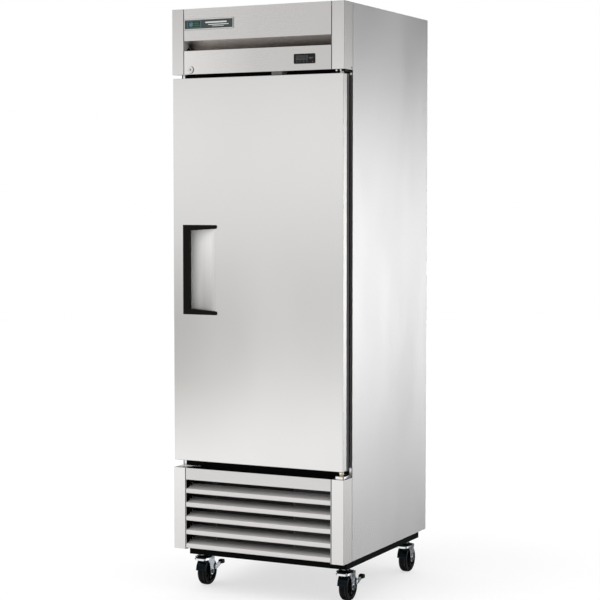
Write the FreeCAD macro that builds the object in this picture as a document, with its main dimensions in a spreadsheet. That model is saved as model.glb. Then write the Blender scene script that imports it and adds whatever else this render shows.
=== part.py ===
import FreeCAD, Part
import math
import os
import re
import Sketcher

# Single-door reach-in refrigerator. Row frame: +Z up, the door faces -Y, the door hinges on the right (+X).
# The origin lies on the floor under the middle of the overall box. All sizes are in millimetres.

SIZES = {
    # overall
    "width": 686, "depth": 752, "height": 2118, "proud": 2, "gauge": 1.2, "clearance": 0.2,
    # how far a cutting tool reaches past the surface that it cuts
    "past": 5,
    # stand: casters and the black rail frame
    "caster_height": 127, "rail_height": 33, "rail_width": 60, "rail_wall": 2.5, "rail_inset": 23,
    "rail_front_setback": 74, "rail_rear_setback": 16, "deck_gauge": 2,
    # front assemblies stand ahead of the cabinet body
    "face_depth": 69, "header_height": 233.5, "base_height": 299, "post_width": 47, "panel_half": 293,
    "post_return": 30, "flange": 12, "header_lip": 14, "fold_radius": 2.5, "seam": 2.5,
    # rear panel, its vent, the grille in the vent and the cord gland
    "screw_x": 320, "screw_first": 200, "screw_step": 313, "screw_head": 4, "screw_shank": 2,
    "vent_half": 250, "vent_sill": 30, "vent_drop": 26, "grille_half": 270, "grille_gauge": 1.6,
    "grille_sill": 15, "grille_drop": 11, "slot_half": 215, "slot_first": 42, "slot_step": 22,
    "slot_height": 9, "gland_x": -235, "gland_rise": 60, "gland_radius": 10, "gland_nut": 14,
    "gland_bore": 5, "gland_length": 24, "gland_stand": 0.6,
    # groove in the header panel
    "groove_low": 1968, "groove_high": 2004, "groove_depth": 62, "fold_allowance": 4.5, "fold_rise": 0.7,
    # door
    "door_width": 680, "door_gap_top": 14, "door_gap_bottom": 28, "skin_gauge": 1, "skin_return": 27,
    "trim_depth": 19, "trim_width": 20, "gasket_inset": 15, "gasket_width": 25, "seal_gap": 0.5,
    "door_liner_gauge": 4, "door_liner_inset": 42, "door_liner_round": 3, "gasket_round": 4,
    "skin_fold": 2, "sliver": 0.001,
    # handle recess
    "recess_left": -300, "recess_right": -164, "recess_flat": 11, "recess_depth": 38, "mouth_lead": 3,
    "mouth_shift": 0.125, "bottom_shift": 0.33, "slope_shift": 3.4, "slope_room": 4, "recess_low": 1021.5,
    "recess_high": 1343.5, "handle_left": -300.5, "handle_right": -160, "handle_rim": 1, "grip_width": 27,
    "grip_depth": 14, "arm_tip": 13, "arm_root": 20, "arm_clearance": 0.3, "arm_start": 4, "arm_round": 5,
    "grip_round": 1.5,
    # door hinge
    "hinge_x": 326, "hinge_setback": 17, "pin_radius": 6, "bushing_radius": 9, "bushing_length": 26,
    "running_gap": 0.05, "bracket_thick": 12, "bracket_left": 306, "top_bracket_thick": 8,
    "bracket_round": 9, "pin_reach": 16, "pin_collar": 2, "bushing_low_stand": 4, "bushing_high_stand": 2,
    "blank_left": -335, "blank_right": -255, "blank_thick": 3, "blank_depth": 22,
    # insulated cabinet
    "opening_half": 296, "opening_low": 523, "opening_high": 1835, "frame_half": 330, "frame_thick": 6,
    "frame_low": 408, "frame_top": 2110, "ceiling_thick": 60, "rear_thick": 55, "throat_depth": 44,
    "liner_gauge": 1, "pan_gauge": 1.2, "pan_inset": 2, "pan_front_gap": 10,
    # lock, controller, badge and switch
    "lock_x": -267, "lock_z": 1901, "lock_rim": 12.5, "lock_body": 10.5, "lock_core": 8, "lock_depth": 18,
    "cam_length": 40, "cam_thick": 3, "cam_half": 6, "key_width": 1.6, "key_height": 8, "key_depth": 6,
    "cam_room": 10, "plug_inset": 0.5, "keeper_gap": 3, "keeper_short": 4, "control_left": 149,
    "control_right": 232, "control_low": 1907, "control_high": 1941.5, "control_step": 2,
    "control_depth": 40, "control_round": 3, "button_width": 8, "button_height": 3, "button_thick": 3,
    "button_inset": 0.2, "button_room": 1.3, "button_pitch": 13, "button_first": 8, "button_rise": 4,
    "button_gap": 0.15, "badge_right": -89, "badge_low": 2042, "badge_high": 2081.5, "badge_round": 1.2,
    "switch_left": 46, "switch_right": 88, "switch_low": 1874, "switch_high": 1889, "switch_front": -345,
    "plunger_x": 80, "plunger_y": -338, "plunger_radius": 3, "plunger_gap": 0.3, "plunger_top": 1883,
    "dot_setback": 61, "dot_z": 1892, "dot_radius": 1.75,
    # louver
    "louver_rail": 42.5, "louver_hem": 12, "slat_first": 164, "slat_pitch": 50.5, "slat_lip": 16.5,
    "slat_depth": 54, "slat_rise": 29, "slat_gauge": 1.5, "slat_nose": 8, "slat_half": 291.5,
    "slat_round": 4.5,
    # casters
    "caster_x": 290, "caster_front": -250, "caster_rear": 290, "trail": 27, "wheel_radius": 50.8,
    "wheel_half": 16, "axle_radius": 6, "axle_gap": 0.1, "fork_half": 22, "fork_gap": 19,
    "crown_top": 108, "crown_low": 105, "cup_top": 116.8, "cup_radius": 23, "stem_radius": 6,
    "stem_top": 150, "collar_low": 117, "collar_radius": 15, "rivet_low": 102, "rivet_radius": 9,
    "stem_nut": 10, "stem_nut_rise": 14, "fork_front": 32, "fork_back": 48, "fork_back_drop": 9,
    "fork_front_drop": 12, "fork_toe": 11, "fork_toe_half": 6, "fork_toe_rise": 4, "fork_toe_drop": 11,
    "fork_round": 6, "bolt_head": 9, "bolt_head_thick": 5, "bolt_nut_thick": 6, "washer_gap": 0.1,
    "rim_width": 10, "rim_step": 13, "rim_chamfer": 4, "web_half": 9, "hub_boss": 14, "hub_proud": 1,
    "pedal_thick": 3, "pedal_offset": 24, "pedal_heel": 14, "pedal_root": 22, "pedal_reach": 70,
    "pedal_waist": 62, "pedal_low": 55, "pedal_high": 78, "pedal_tip_low": 74, "pedal_tip_high": 85,
    "pad_start": 64, "pad_end": 86, "pad_low": 73, "pad_high": 88, "pad_inner": 10, "pad_outer": 8,
    "pad_round": 3,
    # shelves
    "shelf_half": 282, "shelf_front": -285, "shelf_rear": 305, "shelf_low": 800, "shelf_step": 330,
    "wire_radius": 2.5, "rim_radius": 4, "wire_lift": 6.4, "wire_short": 2, "cross_inset": 195,
    "pilaster_depth": 6, "pilaster_width": 16, "pilaster_front": -225, "pilaster_rear": 255,
    "pilaster_end": 10, "pilaster_web": 2, "pilaster_margin": 5, "notch_first": 30, "notch_step": 31,
    "notch_height": 14, "clip_reach": 17, "clip_height": 12, "clip_inset": 2,
    # interior light
    "light_half": 160, "light_low": 12, "light_high": 42, "light_gap": 1.5, "light_base": 12,
    "lens_half": 150, "lens_low": 16, "lens_high": 38, "lens_depth": 26,
    # refrigeration
    "evaporator_half": 270, "evaporator_low": 1880, "evaporator_front": -235, "evaporator_rear": 290,
    "cover_gauge": 1.5, "cover_gap": 2, "exit_half": 200, "exit_first": 30, "exit_step": 30,
    "exit_height": 12, "fin_half": 200, "fin_front": 40, "fin_rear": 150, "fin_low": 12, "fin_drop": 20,
    "tube_radius": 5, "tube_end": 206, "tube_first": 35, "tube_step": 35, "tube_front": 60,
    "tube_rear": 130, "fan_radius": 70, "fan_ring": 6, "fan_extra": 25, "fan_setback": 14,
    "evaporator_fan_z": 1965, "condenser_fan_x": -60, "condenser_fan_y": -170, "condenser_fan_z": 300,
    "hub_radius": 18, "hub_length": 20, "blade_thick": 2, "blade_pitch": 30, "blade_root": 3,
    "blade_chord": 32, "motor_radius": 32, "motor_length": 50, "motor_gap": 10, "arm_half": 90,
    "arm_place": 20, "arm_thick": 6, "arm_wide": 8, "compressor_x": 130, "compressor_y": 140,
    "compressor_radius": 88, "compressor_height": 190, "foot_rise": 12, "foot_gap": 10, "foot_thick": 4,
    "foot_margin": 8, "mount_place": 80, "mount_radius": 12, "relay_half": 30, "relay_reach": 28,
    "relay_low": 60, "relay_high": 130, "relay_root": 0.8, "coil_left": -220, "coil_right": 100,
    "coil_front": 25, "coil_rear": 85, "coil_drop": 50, "coil_rise": 5, "coil_tube": 55,
    "coil_tube_over": 12, "coil_tube_first": 40, "coil_tube_step": 42, "baffle_gauge": 1.5,
    "baffle_half": 320, "baffle_drop": 4, "baffle_gap": 0.5, "tray_left": -300, "tray_right": -60,
    "tray_front": 60, "tray_rear": 330, "tray_height": 40, "tray_wall": 2, "line_radius": 4,
    "line_offset": 40, "line_gap": 0.5, "discharge_rise": 240, "suction_rise": 250, "suction_y": 330,
    "discharge_y": 70,
}

# Places worked out from the driving sizes above.
PLACES = {
    "side": "width / 2",
    "front": "-depth / 2",
    "rear": "depth / 2",
    "panel_front": "front + proud",
    "face": "panel_front + face_depth",
    "body_rear": "rear - 1",
    "metal_low": "caster_height + rail_height",
    "base_top": "metal_low + base_height",
    "header_low": "height - header_height",
    "post_inner": "side - post_width",
    "door_half": "door_width / 2",
    "door_low": "base_top + door_gap_bottom",
    "door_high": "header_low - door_gap_top",
    "door_front": "panel_front",
    "skin_rear": "door_front + skin_return",
    "core_rear": "skin_rear + trim_depth",
    "core_half": "door_half - trim_width",
    "core_low": "door_low + trim_width",
    "core_high": "door_high - trim_width",
    "gasket_rear": "face - seal_gap",
    "gasket_half": "door_half - gasket_inset",
    "hinge_y": "door_front + hinge_setback",
    "bushing_low": "door_low - bushing_low_stand",
    "bushing_high": "door_high + bushing_high_stand",
    "deck_top": "metal_low + deck_gauge",
    "roof_top": "base_top - clearance",
    "roof_low": "roof_top - gauge",
    "grille_rear": "body_rear - gauge - clearance",
    "side_front": "face + seam",
    "inner_front": "side_front + gauge + clearance",
    "inner_rear": "body_rear - 2 * gauge - clearance",
    "wall_front": "face + frame_thick",
    "cavity_rear": "body_rear - rear_thick",
    "cavity_high": "height - ceiling_thick",
    "liner_half": "opening_half - clearance",
    "control_back": "panel_front + control_depth",
    "lock_back": "panel_front + lock_depth",
    "rail_front": "panel_front + rail_front_setback",
    "rail_rear": "rear - rail_rear_setback",
    "rail_outer": "side - rail_inset",
    "rail_inner": "rail_outer - rail_width",
}

# How many there are of the parts that repeat
PANEL_SCREWS = 7
GRILLE_SLOTS = 10
BUTTONS = 4
SLATS = 5
FAN_BLADES = 5
EVAPORATOR_TUBES = 4
EVAPORATOR_EXITS = 4
CONDENSER_TUBES = 5
PILASTER_NOTCHES = 40
SHELF_WIRES = 21

# Outline of the compressor can: shares of its radius and of its height
CAN_OUTLINE = ((0, 0), (0.6, 0), (1, 0.14), (1, 0.72), (0.86, 0.88), (0.5, 1), (0, 1))

# Distance within which an edge counts as lying on a plane or a line, and the cosine that counts as parallel
CLOSE = 0.01
PARALLEL = 0.999999

doc = FreeCAD.newDocument("ReachInRefrigerator")
nodes = []


def make_size_sheet():
    """Spreadsheet of driving dimensions: the name in column A, the number in column B."""
    sheet = doc.addObject("Spreadsheet::Sheet", "Sizes")
    for row, (alias, number) in enumerate(SIZES.items(), start=1):
        sheet.set(f"A{row}", alias)
        sheet.set(f"B{row}", str(number))
        sheet.setAlias(f"B{row}", alias)
    doc.recompute()
    return sheet


def bind(text):
    """Expression text with every size and place name tied to the size sheet."""
    def swap(match):
        word = match.group(0)
        if word in PLACES:
            return "(" + bind(PLACES[word]) + ")"
        return "Sizes." + word if word in SIZES else word
    return re.sub(r"[a-z_]+", swap, str(text))


def number(text):
    """Present value of an expression, for loops and for shapes that are not bound."""
    return float(sizes.evalExpression(bind(text)))


def node(shape, label):
    """Mark an object as a finished sub-part, which is written out under its label."""
    shape.Label = label
    nodes.append(shape)
    return shape


def locate(thing, x="0", y="0", z="0"):
    for axis, text in zip("xyz", (x, y, z)):
        thing.setExpression(f"Placement.Base.{axis}", bind(text))
    return thing


def box(name, x, y, z):
    """Block between a low and a high expression along each axis."""
    block = doc.addObject("Part::Box", name)
    for side_name, (low, high) in zip(("Length", "Width", "Height"), (x, y, z)):
        block.setExpression(side_name, bind(f"({high}) - ({low})"))
    return locate(block, x[0], y[0], z[0])


def wide_box(name, half, y, z):
    """Block centred on the middle plane."""
    return box(name, (f"-({half})", half), y, z)


AXIS_TURNS = {
    "x": FreeCAD.Rotation(FreeCAD.Vector(0, 1, 0), 90),
    "y": FreeCAD.Rotation(FreeCAD.Vector(1, 0, 0), -90),
    "z": FreeCAD.Rotation(),
}


def rod(name, axis, centre, radius, span):
    """Cylinder along one axis; centre gives the other two coordinates, in X, Y, Z order."""
    cylinder = doc.addObject("Part::Cylinder", name)
    cylinder.Placement = FreeCAD.Placement(FreeCAD.Vector(), AXIS_TURNS[axis])
    cylinder.setExpression("Radius", bind(radius))
    cylinder.setExpression("Height", bind(f"({span[1]}) - ({span[0]})"))
    spot = list(centre)
    spot.insert("xyz".index(axis), span[0])
    return locate(cylinder, *spot)


def cut(name, base, tools):
    """Base with one or more tools removed."""
    result = doc.addObject("Part::Cut", name)
    result.Base = base
    result.Tool = tools[0] if len(tools) == 1 else join(name + "_tools", tools)
    return result


def join(name, pieces):
    result = doc.addObject("Part::MultiFuse", name)
    result.Shapes = pieces
    result.Refine = True
    return result


def group(name, pieces):
    """Separate solids that share one node."""
    result = doc.addObject("Part::Compound", name)
    result.Links = pieces
    return result


def common(name, first, second):
    result = doc.addObject("Part::Common", name)
    result.Base = first
    result.Tool = second
    return result


def mirrored(name, source):
    """Copy across the middle plane."""
    result = doc.addObject("Part::Mirroring", name)
    result.Source = source
    result.Normal = FreeCAD.Vector(1, 0, 0)
    return result


def outline(body, name, plane, points):
    """Closed straight-sided sketch; every corner is held by two expressions."""
    sketch = body.newObject("Sketcher::SketchObject", name)
    origin_plane = next(f for f in body.Origin.OriginFeatures if f.Role == plane)
    sketch.AttachmentSupport = [(origin_plane, "")]
    sketch.MapMode = "FlatFace"
    spots = [FreeCAD.Vector(number(a), number(b), 0) for a, b in points]
    for here, after in zip(spots, spots[1:] + spots[:1]):
        sketch.addGeometry(Part.LineSegment(here, after))
    count = len(spots)
    for index in range(count):
        sketch.addConstraint(Sketcher.Constraint("Coincident", index, 2, (index + 1) % count, 1))
    for index, (across, up) in enumerate(points):
        for kind, text in (("DistanceX", across), ("DistanceY", up)):
            place = sketch.addConstraint(Sketcher.Constraint(kind, -1, 1, index, 1, number(text)))
            sketch.setExpression(f"Constraints[{place}]", bind(text))
    return sketch


def prism(name, plane, points, span):
    """Body padded from an outline on one of its own origin planes."""
    body = doc.addObject("PartDesign::Body", name)
    sketch = outline(body, name + "_sketch", plane, points)
    pad = body.newObject("PartDesign::Pad", name + "_pad")
    pad.Profile = sketch
    pad.setExpression("Length", bind(f"({span[1]}) - ({span[0]})"))
    starts = {
        "XY_Plane": ("0", "0", span[0]),
        "YZ_Plane": (span[0], "0", "0"),
        "XZ_Plane": ("0", span[1], "0"),
    }
    return locate(body, *starts[plane])


def turned(name, points, centre, turn=FreeCAD.Rotation()):
    """Body revolved about its own upright axis from an outline of radius and height."""
    body = doc.addObject("PartDesign::Body", name)
    sketch = outline(body, name + "_sketch", "XZ_Plane", points)
    spin = body.newObject("PartDesign::Revolution", name + "_turn")
    spin.Profile = sketch
    spin.ReferenceAxis = (sketch, ["V_Axis"])
    spin.Angle = 360
    body.Placement = FreeCAD.Placement(FreeCAD.Vector(), turn)
    return locate(body, *centre)


def rounded(name, base, radius, chosen):
    """Base with the chosen edges rounded; chosen is a test on an edge."""
    doc.recompute()
    result = doc.addObject("Part::Fillet", name)
    result.Base = base
    picks = [i for i, edge in enumerate(base.Shape.Edges, start=1) if chosen(edge)]
    result.Edges = [(i, number(radius), number(radius)) for i in picks]
    return result


def runs_along(edge, axis):
    """True for a straight edge parallel to one axis."""
    if edge.Curve.TypeId != "Part::GeomLine":
        return False
    return abs(getattr(edge.Curve.Direction, axis)) > PARALLEL


# ---------------------------------------------------------------- cabinet shell

def make_side_panels():
    """Folded sheet on each side, with a flange turned in at the front and at the rear."""
    inner = "side - gauge"
    lip = "side - flange"
    back = "body_rear - gauge"
    points = [(lip, "side_front"), ("side", "side_front"), ("side", back), (lip, back),
              (lip, f"{back} - gauge"), (inner, f"{back} - gauge"), (inner, "side_front + gauge"),
              (lip, "side_front + gauge")]
    right = prism("right_side", "XY_Plane", points, ("metal_low", "height"))
    node(right, "right_side_panel")
    node(mirrored("left_side", right), "left_side_panel")


def screw_places():
    """Centres of the rear panel screws, up both edges."""
    for x in ("-screw_x", "screw_x"):
        for step in range(PANEL_SCREWS):
            yield x, f"screw_first + {step} * screw_step"


def make_rear():
    """Rear panel with its vent, the grille behind the vent, the cord gland and the panel screws."""
    through = ("body_rear - past", "body_rear + past")
    plate = wide_box("rear_plate", "side", ("body_rear - gauge", "body_rear"), ("metal_low", "height"))
    vent = wide_box("rear_vent", "vent_half", through, ("metal_low + vent_sill", "base_top - vent_drop"))
    holes = [rod("screw_hole", "y", spot, "screw_shank + running_gap", through) for spot in screw_places()]
    node(cut("rear", plate, [vent] + holes), "rear_panel")
    screws = []
    for spot in screw_places():
        head = rod("screw_head", "y", spot, "screw_head", ("body_rear", "rear"))
        shank = rod("screw_shank", "y", spot, "screw_shank", ("body_rear - gauge", "body_rear"))
        screws.append(join("screw", [head, shank]))
    node(group("screws", screws), "cabinet_screws")
    through = ("grille_rear - past", "grille_rear + past")
    sheet = wide_box("grille_sheet", "grille_half", ("grille_rear - grille_gauge", "grille_rear"),
                     ("metal_low + grille_sill", "base_top - grille_drop"))
    slots = []
    for level in range(GRILLE_SLOTS):
        low = f"metal_low + slot_first + {level} * slot_step"
        slots.append(wide_box("grille_slot", "slot_half", through, (low, f"{low} + slot_height")))
    spot = ("gland_x", "metal_low + gland_rise")
    gland_hole = rod("gland_hole", "y", spot, "gland_radius + clearance", through)
    node(cut("grille", sheet, slots + [gland_hole]), "rear_grille")
    barrel = rod("gland_barrel", "y", spot, "gland_radius", ("body_rear - gland_length", "body_rear"))
    nut = rod("gland_nut", "y", spot, "gland_nut", ("grille_rear + clearance / 2", "body_rear + gland_stand"))
    bore = rod("gland_bore", "y", spot, "gland_bore", ("body_rear - gland_length - past", "rear + past"))
    node(cut("gland", join("gland_shell", [barrel, nut]), [bore]), "cord_gland")


def make_top():
    node(wide_box("top_sheet", "side - gauge", ("inner_front", "inner_rear"), ("height - gauge", "height")),
         "top_panel")


def make_foam():
    """Foamed walls around the cavity, one slab a wall."""
    outer = "side - gauge - clearance"
    deep = ("wall_front", "inner_rear")
    tall = ("opening_low", "cavity_high")
    slabs = [
        box("foam_left", (f"-({outer})", "-opening_half"), deep, tall),
        box("foam_right", ("opening_half", outer), deep, tall),
        wide_box("foam_rear", "opening_half", ("cavity_rear", "inner_rear"), tall),
        wide_box("foam_floor", outer, deep, ("base_top", "opening_low")),
        wide_box("foam_ceiling", outer, deep, ("cavity_high", "height - gauge - clearance")),
        wide_box("foam_brow", "opening_half", ("wall_front", "wall_front + throat_depth"),
                 ("opening_high", "cavity_high")),
    ]
    node(group("foam", slabs), "foam_insulation")


def liner_outline(inset, front_at):
    """Side view of the cavity: the throat behind the door and the taller space behind the brow."""
    low = f"opening_low + clearance + {inset}"
    throat = f"opening_high - clearance - {inset}"
    high = f"cavity_high - clearance - {inset}"
    brow = f"wall_front + throat_depth + clearance + {inset}"
    back = f"cavity_rear - clearance - {inset}"
    return [(front_at, low), (back, low), (back, high), (brow, high), (brow, throat), (front_at, throat)]


def make_liner():
    """Sheet liner of the cavity and the thicker pan that covers its floor."""
    shell = prism("liner_shell", "YZ_Plane", liner_outline("0", "wall_front"), ("-liner_half", "liner_half"))
    hollow = prism("liner_hollow", "YZ_Plane", liner_outline("liner_gauge", "wall_front - past"),
                   ("liner_gauge - liner_half", "liner_half - liner_gauge"))
    floor = "opening_low + clearance + liner_gauge + clearance"
    pan = wide_box("floor_pan", "liner_half - pan_inset",
                   ("wall_front + pan_front_gap", "cavity_rear - liner_gauge - pan_inset"),
                   (floor, f"{floor} + pan_gauge"))
    node(group("liner", [cut("liner_walls", shell, [hollow]), pan]), "inner_liner")


def make_face_frame():
    """Flat frame around the opening that the door gasket seals on."""
    spans = {
        "left": (("-frame_half", "-opening_half"), ("frame_low", "frame_top")),
        "right": (("opening_half", "frame_half"), ("frame_low", "frame_top")),
        "low": (("-opening_half", "opening_half"), ("frame_low", "opening_low")),
        "high": (("-opening_half", "opening_half"), ("opening_high", "frame_top")),
    }
    bars = [box(f"face_{key}", x, ("face", "wall_front"), z) for key, (x, z) in spans.items()]
    node(group("face_bars", bars), "face_frame")


def make_posts():
    """Folded corner posts that carry the header and the base, closed at the ends that show."""
    back = "panel_front + gauge"
    points = [("post_inner", "panel_front"), ("side", "panel_front"), ("side", "face"),
              ("side - gauge", "face"), ("side - gauge", back), ("post_inner + gauge", back),
              ("post_inner + gauge", "panel_front + post_return"),
              ("post_inner", "panel_front + post_return")]
    spans = {"header": ("header_low", "height"), "base": ("metal_low", "base_top")}
    caps = {"header": (("header_low", "header_low + gauge"), ("height - gauge", "height")),
            "base": (("base_top - gauge", "base_top"),)}
    posts = []
    for key, span in spans.items():
        shell = prism(f"{key}_post_shell", "XY_Plane", points, span)
        ends = [box(f"{key}_post_cap", ("post_inner", "side"), ("panel_front", "face"), z) for z in caps[key]]
        whole = join(f"{key}_post_whole", [shell] + ends)
        corner_x, corner_y = number("side"), number("panel_front")
        post = rounded(f"{key}_post_fold", whole, "fold_radius", lambda e: runs_along(e, "z") and
                       math.hypot(e.CenterOfMass.x - corner_x, e.CenterOfMass.y - corner_y) < CLOSE)
        if key == "header":
            dot = rod("post_dot", "x", ("panel_front + dot_setback", "dot_z"), "dot_radius",
                      ("side - past", "side + past"))
            post = cut("header_post", post, [dot])
        posts += [post, mirrored(f"{key}_post_left", post)]
    node(group("posts", posts), "corner_posts")


# ---------------------------------------------------------------- header

def make_header_panel():
    """One folded sheet: top flange, upper face, groove, lower face and bottom lip."""
    back = "panel_front + gauge"
    groove_back = "panel_front + groove_depth"
    points = [("face", "height"), ("panel_front", "height"), ("panel_front", "groove_high"),
              (groove_back, "groove_low"), ("panel_front", "groove_low"), ("panel_front", "header_low"),
              ("panel_front + header_lip", "header_low"), ("panel_front + header_lip", "header_low + gauge"),
              (back, "header_low + gauge"), (back, "groove_low - gauge"),
              (f"{groove_back} + fold_allowance", "groove_low - gauge"), (back, "groove_high + fold_rise"),
              (back, "height - gauge"), ("face", "height - gauge")]
    sheet = prism("header_sheet", "YZ_Plane", points, ("-panel_half", "panel_half"))
    through = ("panel_front - past", "panel_front + past")
    lock_hole = rod("lock_hole", "y", ("lock_x", "lock_z"), "lock_body + clearance", through)
    step = "control_step - clearance"
    control_hole = box("control_hole", (f"control_left + {step}", f"control_right - ({step})"), through,
                       (f"control_low + {step}", f"control_high - ({step})"))
    node(cut("header", sheet, [lock_hole, control_hole]), "header_panel")


def make_badge():
    plate = box("badge_block", ("-panel_half", "badge_right"), ("front", "panel_front"),
                ("badge_low", "badge_high"))
    front_y = number("front")
    soft = rounded("badge", plate, "badge_round", lambda e: abs(e.CenterOfMass.y - front_y) < CLOSE)
    node(soft, "badge_plate")


def button_left(index):
    return f"control_left + button_first + {index} * button_pitch"


def make_controller():
    """Controller housing with a bezel in front of the panel and its four push buttons."""
    bezel = box("control_bezel", ("control_left", "control_right"), ("front", "panel_front"),
                ("control_low", "control_high"))
    soft = rounded("control_face", bezel, "control_round", lambda e: runs_along(e, "y"))
    case = box("control_case", ("control_left + control_step", "control_right - control_step"),
               ("panel_front", "control_back"), ("control_low + control_step", "control_high - control_step"))
    low = "control_low + button_rise"
    pockets = []
    for index in range(BUTTONS):
        left = button_left(index)
        pockets.append(box("button_pocket", (f"{left} - button_gap", f"{left} + button_width + button_gap"),
                           ("front - past", "front + button_thick + button_room"),
                           (f"{low} - button_gap", f"{low} + button_height + button_gap")))
        button = box("button", (left, f"{left} + button_width"),
                     ("front + button_inset", "front + button_inset + button_thick"),
                     (low, f"{low} + button_height"))
        node(button, f"controller_button_{index + 1}")
    node(cut("controller", join("control_whole", [soft, case]), pockets), "controller_housing")


def make_lock():
    """Barrel lock in the header; its cam drops into the top edge of the door."""
    centre = ("lock_x", "lock_z")
    rim = rod("lock_rim_disc", "y", centre, "lock_rim", ("front", "panel_front"))
    body = rod("lock_body_tube", "y", centre, "lock_body", ("panel_front", "lock_back"))
    bore = rod("lock_bore", "y", centre, "lock_core + running_gap", ("front - past", "lock_back + past"))
    node(cut("lock", join("lock_shell", [rim, body]), [bore]), "lock_barrel")
    plug = rod("lock_plug", "y", centre, "lock_core", ("front + plug_inset", "lock_back + clearance"))
    key = box("lock_key", ("lock_x - key_width / 2", "lock_x + key_width / 2"),
              ("front", "front + key_depth"), ("lock_z - key_height / 2", "lock_z + key_height / 2"))
    cam = box("lock_cam", ("lock_x - cam_half", "lock_x + cam_length"),
              ("lock_back + clearance", "lock_back + clearance + cam_thick"),
              ("lock_z - cam_half", "lock_z + cam_half"))
    node(join("lock_turning", [cut("lock_plug_cut", plug, [key]), cam]), "lock_cylinder")


def make_switch():
    """Light and fan switch above the door; the closed door holds its plunger up."""
    case = box("switch_case", ("switch_left", "switch_right"), ("switch_front", "face - clearance"),
               ("switch_low", "switch_high"))
    bore = rod("switch_bore", "z", ("plunger_x", "plunger_y"), "plunger_radius + running_gap",
               ("switch_low - past", "plunger_top + plunger_gap"))
    node(cut("switch", case, [bore]), "door_switch")
    node(rod("plunger", "z", ("plunger_x", "plunger_y"), "plunger_radius",
             ("door_high + plunger_gap", "plunger_top")), "switch_plunger")


# ---------------------------------------------------------------- base and louver

def make_louver():
    """Louver frame between the base posts, with its top rail, and the five slats."""
    rail = wide_box("louver_top", "panel_half", ("panel_front", "panel_front + gauge"),
                    ("base_top - louver_rail", "base_top"))
    hem = wide_box("louver_hem", "panel_half", ("panel_front", "panel_front + louver_hem"),
                   ("base_top - louver_rail", "base_top - louver_rail + gauge"))
    right = box("louver_end", ("slat_half + clearance", "panel_half"),
                ("panel_front", "panel_front + slat_depth"), ("metal_low", "base_top"))
    left = mirrored("louver_end_left", right)
    node(join("louver", [rail, hem, right, left]), "louver_panel")
    slats = []
    for index in range(SLATS):
        low = f"slat_first + {index} * slat_pitch"
        back = "panel_front + slat_depth"
        nose = "panel_front + slat_nose"
        points = [("panel_front", low), ("panel_front", f"{low} + slat_lip"), (back, f"{low} + slat_rise"),
                  (back, f"{low} + slat_rise - slat_gauge"), (nose, f"{low} + slat_lip"), (nose, low)]
        slat = prism(f"slat_{index}", "YZ_Plane", points, ("-slat_half", "slat_half"))
        front_y = number("panel_front")
        slats.append(rounded(f"slat_round_{index}", slat, "slat_round",
                             lambda e: runs_along(e, "x") and abs(e.CenterOfMass.y - front_y) < CLOSE))
    node(group("slats", slats), "louver_slats")


def make_base_frame():
    """Black frame of four hollow rails under the cabinet."""
    long = ("rail_front", "rail_rear")
    tall = ("caster_height", "metal_low")
    hollow = ("caster_height + rail_wall", "metal_low - rail_wall")
    rails = []
    side_rail = box("rail_right", ("rail_inner", "rail_outer"), long, tall)
    side_hollow = box("rail_right_hollow", ("rail_inner + rail_wall", "rail_outer - rail_wall"),
                      ("rail_front + rail_wall", "rail_rear - rail_wall"), hollow)
    through = ("caster_height - past", "caster_height + past")
    stem_holes = [rod("stem_hole", "z", ("caster_x", y), "stem_radius + clearance", through)
                  for y in ("caster_front", "caster_rear")]
    right = cut("rail_right_tube", side_rail, [side_hollow] + stem_holes)
    rails += [right, mirrored("rail_left_tube", right)]
    for key, (low, high) in {"front": ("rail_front", "rail_front + rail_width"),
                             "rear": ("rail_rear - rail_width", "rail_rear")}.items():
        bar = wide_box(f"rail_{key}", "rail_inner", (low, high), tall)
        gap = wide_box(f"rail_{key}_hollow", "rail_inner + past",
                       (f"{low} + rail_wall", f"{high} - rail_wall"), hollow)
        rails.append(cut(f"rail_{key}_tube", bar, [gap]))
    node(group("rails", rails), "base_frame")


def make_compartment():
    """Sheets that close the machine compartment: its deck, and its roof under the foam."""
    half = "side - gauge - clearance"
    rear = "inner_rear - grille_gauge - clearance"
    node(group("compartment", [
        wide_box("deck", half, ("inner_front", rear), ("metal_low", "deck_top")),
        wide_box("roof", half, ("wall_front + clearance", "inner_rear"), ("roof_low", "roof_top")),
    ]), "base_deck")


# ---------------------------------------------------------------- refrigeration

def make_fan(label, centre, radius):
    """Axial fan that turns about Y."""
    x, y, z = centre
    hub = rod("hub", "y", (x, z), "hub_radius", (y, f"{y} + hub_length"))
    blades = []
    for index in range(FAN_BLADES):
        blade = doc.addObject("Part::Box", "blade")
        blade.setExpression("Length", bind(f"{radius} - hub_radius + blade_root"))
        blade.setExpression("Width", bind("blade_chord"))
        blade.setExpression("Height", bind("blade_thick"))
        pitch = FreeCAD.Rotation(FreeCAD.Vector(1, 0, 0), 90 - number("blade_pitch"))
        spin = FreeCAD.Rotation(FreeCAD.Vector(0, 1, 0), index * 360 / FAN_BLADES)
        corner = FreeCAD.Vector(number("hub_radius - blade_root"), 0, 0)
        centring = FreeCAD.Vector(0, -number("blade_chord / 2"), -number("blade_thick / 2"))
        middle = FreeCAD.Vector(number(x), number(y) + number("hub_length") / 2, number(z))
        blade.Placement = FreeCAD.Placement(middle + spin.multVec(corner + pitch.multVec(centring)),
                                            spin.multiply(pitch))
        blades.append(blade)
    node(join(label + "_wheel", [hub] + blades), label)


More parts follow.
